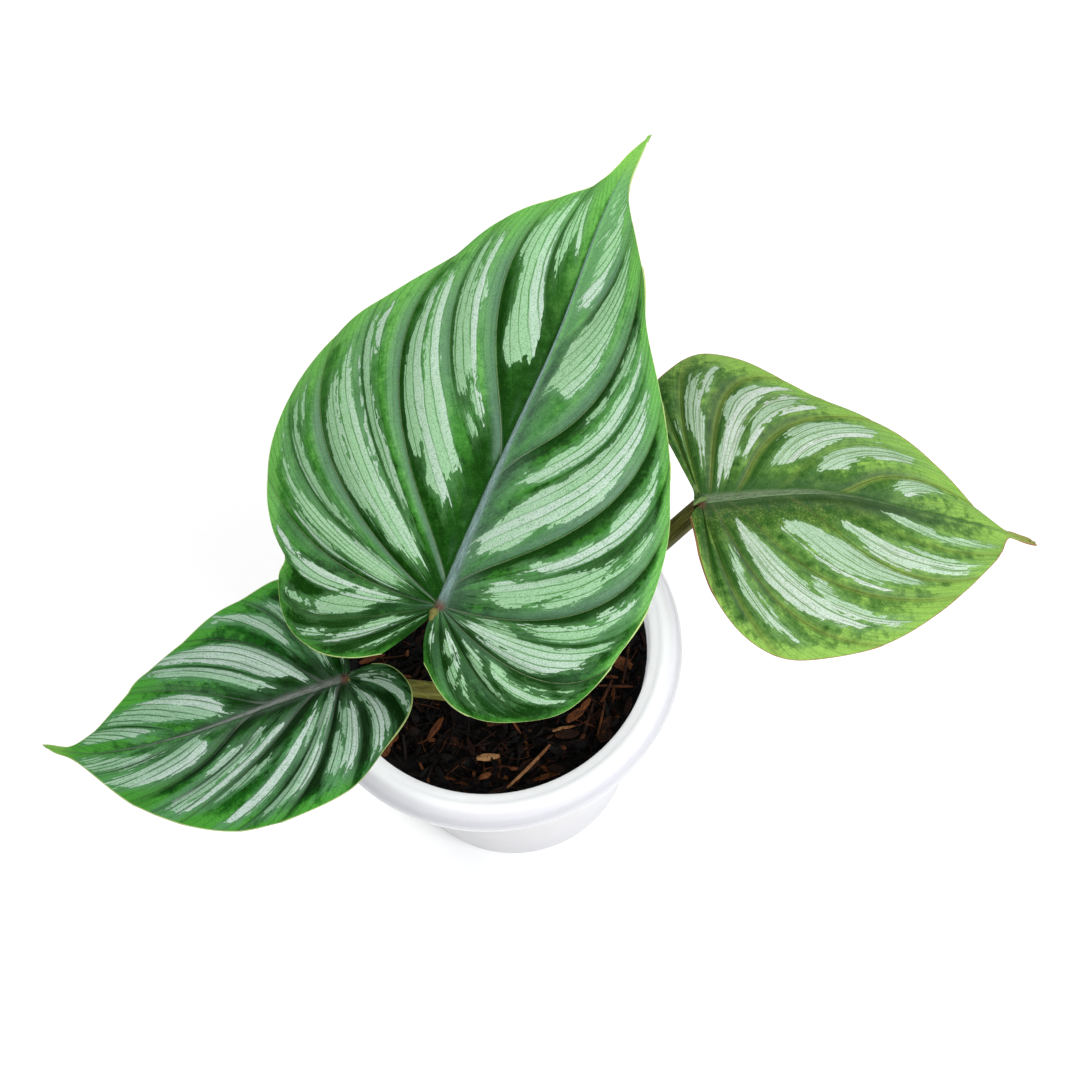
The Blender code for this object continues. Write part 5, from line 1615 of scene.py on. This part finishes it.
def make_stem():
    """The short stem and a sheath round the foot of each stalk."""
    pick()
    upright_line = [Vector((CROWN.x, CROWN.y, z)) for z in np.linspace(STEM_FOOT, 97.0, 30)]
    heights = [point.z - STEM_FOOT for point in upright_line]
    body = cut_cylinder("stem_body", STEM_SIDES, STEM_RINGS)
    lay_along(body, upright_line, heights, 0.0, STEM_HEIGHT,
              lambda part: STEM_RADIUS * (1.0 if part < 0.9 else 0.8), 0.0, 0.02)
    pieces = [body]
    for leaf in LEAVES.values():
        line, run = stalk_line(leaf)
        thick = leaf["stalk_radius"][0]
        sheath = cut_cylinder("sheath", STALK_SIDES, 12)
        lay_along(sheath, line, run, 0.6, STUB, lambda part: thick + 0.9 - 0.75 * part, 0.2)
        pieces.append(sheath)
    stem = join_all(pieces, "rootstock")
    smooth(stem, 50)
    return stem


dress(make_stem(), olive, "olive_stem", "stem")

# %% [markdown]
# ## Floor and light
#
# A plain pale floor and large soft lamps, as in a studio. One broad lamp in front on the
# right draws the slopes beside the veins, one behind and above lights the blades, and
# the room itself opens the shadows.

# %% Stage
bpy.ops.object.select_all(action='DESELECT')
bpy.ops.mesh.primitive_plane_add(size=12)
floor = added("floor")
paper = Finish("paper")
paper.set(Base_Color=(0.97, 0.97, 0.97, 1), Roughness=0.9)
floor.data.materials.append(paper.material)


def softbox(name, place, target, size, power):
    """A square lamp that faces a target."""
    lamp = bpy.data.lights.new(name, 'AREA')
    lamp.shape = 'SQUARE'
    lamp.size = size
    lamp.energy = power
    box = bpy.data.objects.new(name, lamp)
    bpy.context.scene.collection.objects.link(box)
    box.location = place
    box.rotation_euler = (Vector(target) - Vector(place)).to_track_quat('-Z', 'Y').to_euler()


softbox("lamp_front_right", (0.70, -0.80, 0.72), (0, 0, 0.1), 0.75, 14)
softbox("lamp_back_above", (-0.15, 0.75, 1.50), (0, 0, 0.1), 1.1, 15)
world = bpy.data.worlds.new("studio")
bpy.context.scene.world = world
world.use_nodes = True
world.node_tree.nodes["Background"].inputs[0].default_value = (1, 1, 1, 1)
world.node_tree.nodes["Background"].inputs[1].default_value = 0.60
bpy.context.scene.view_settings.view_transform = 'Standard'
print("lamps:", {name: lamp.energy for name, lamp in bpy.data.lights.items()})
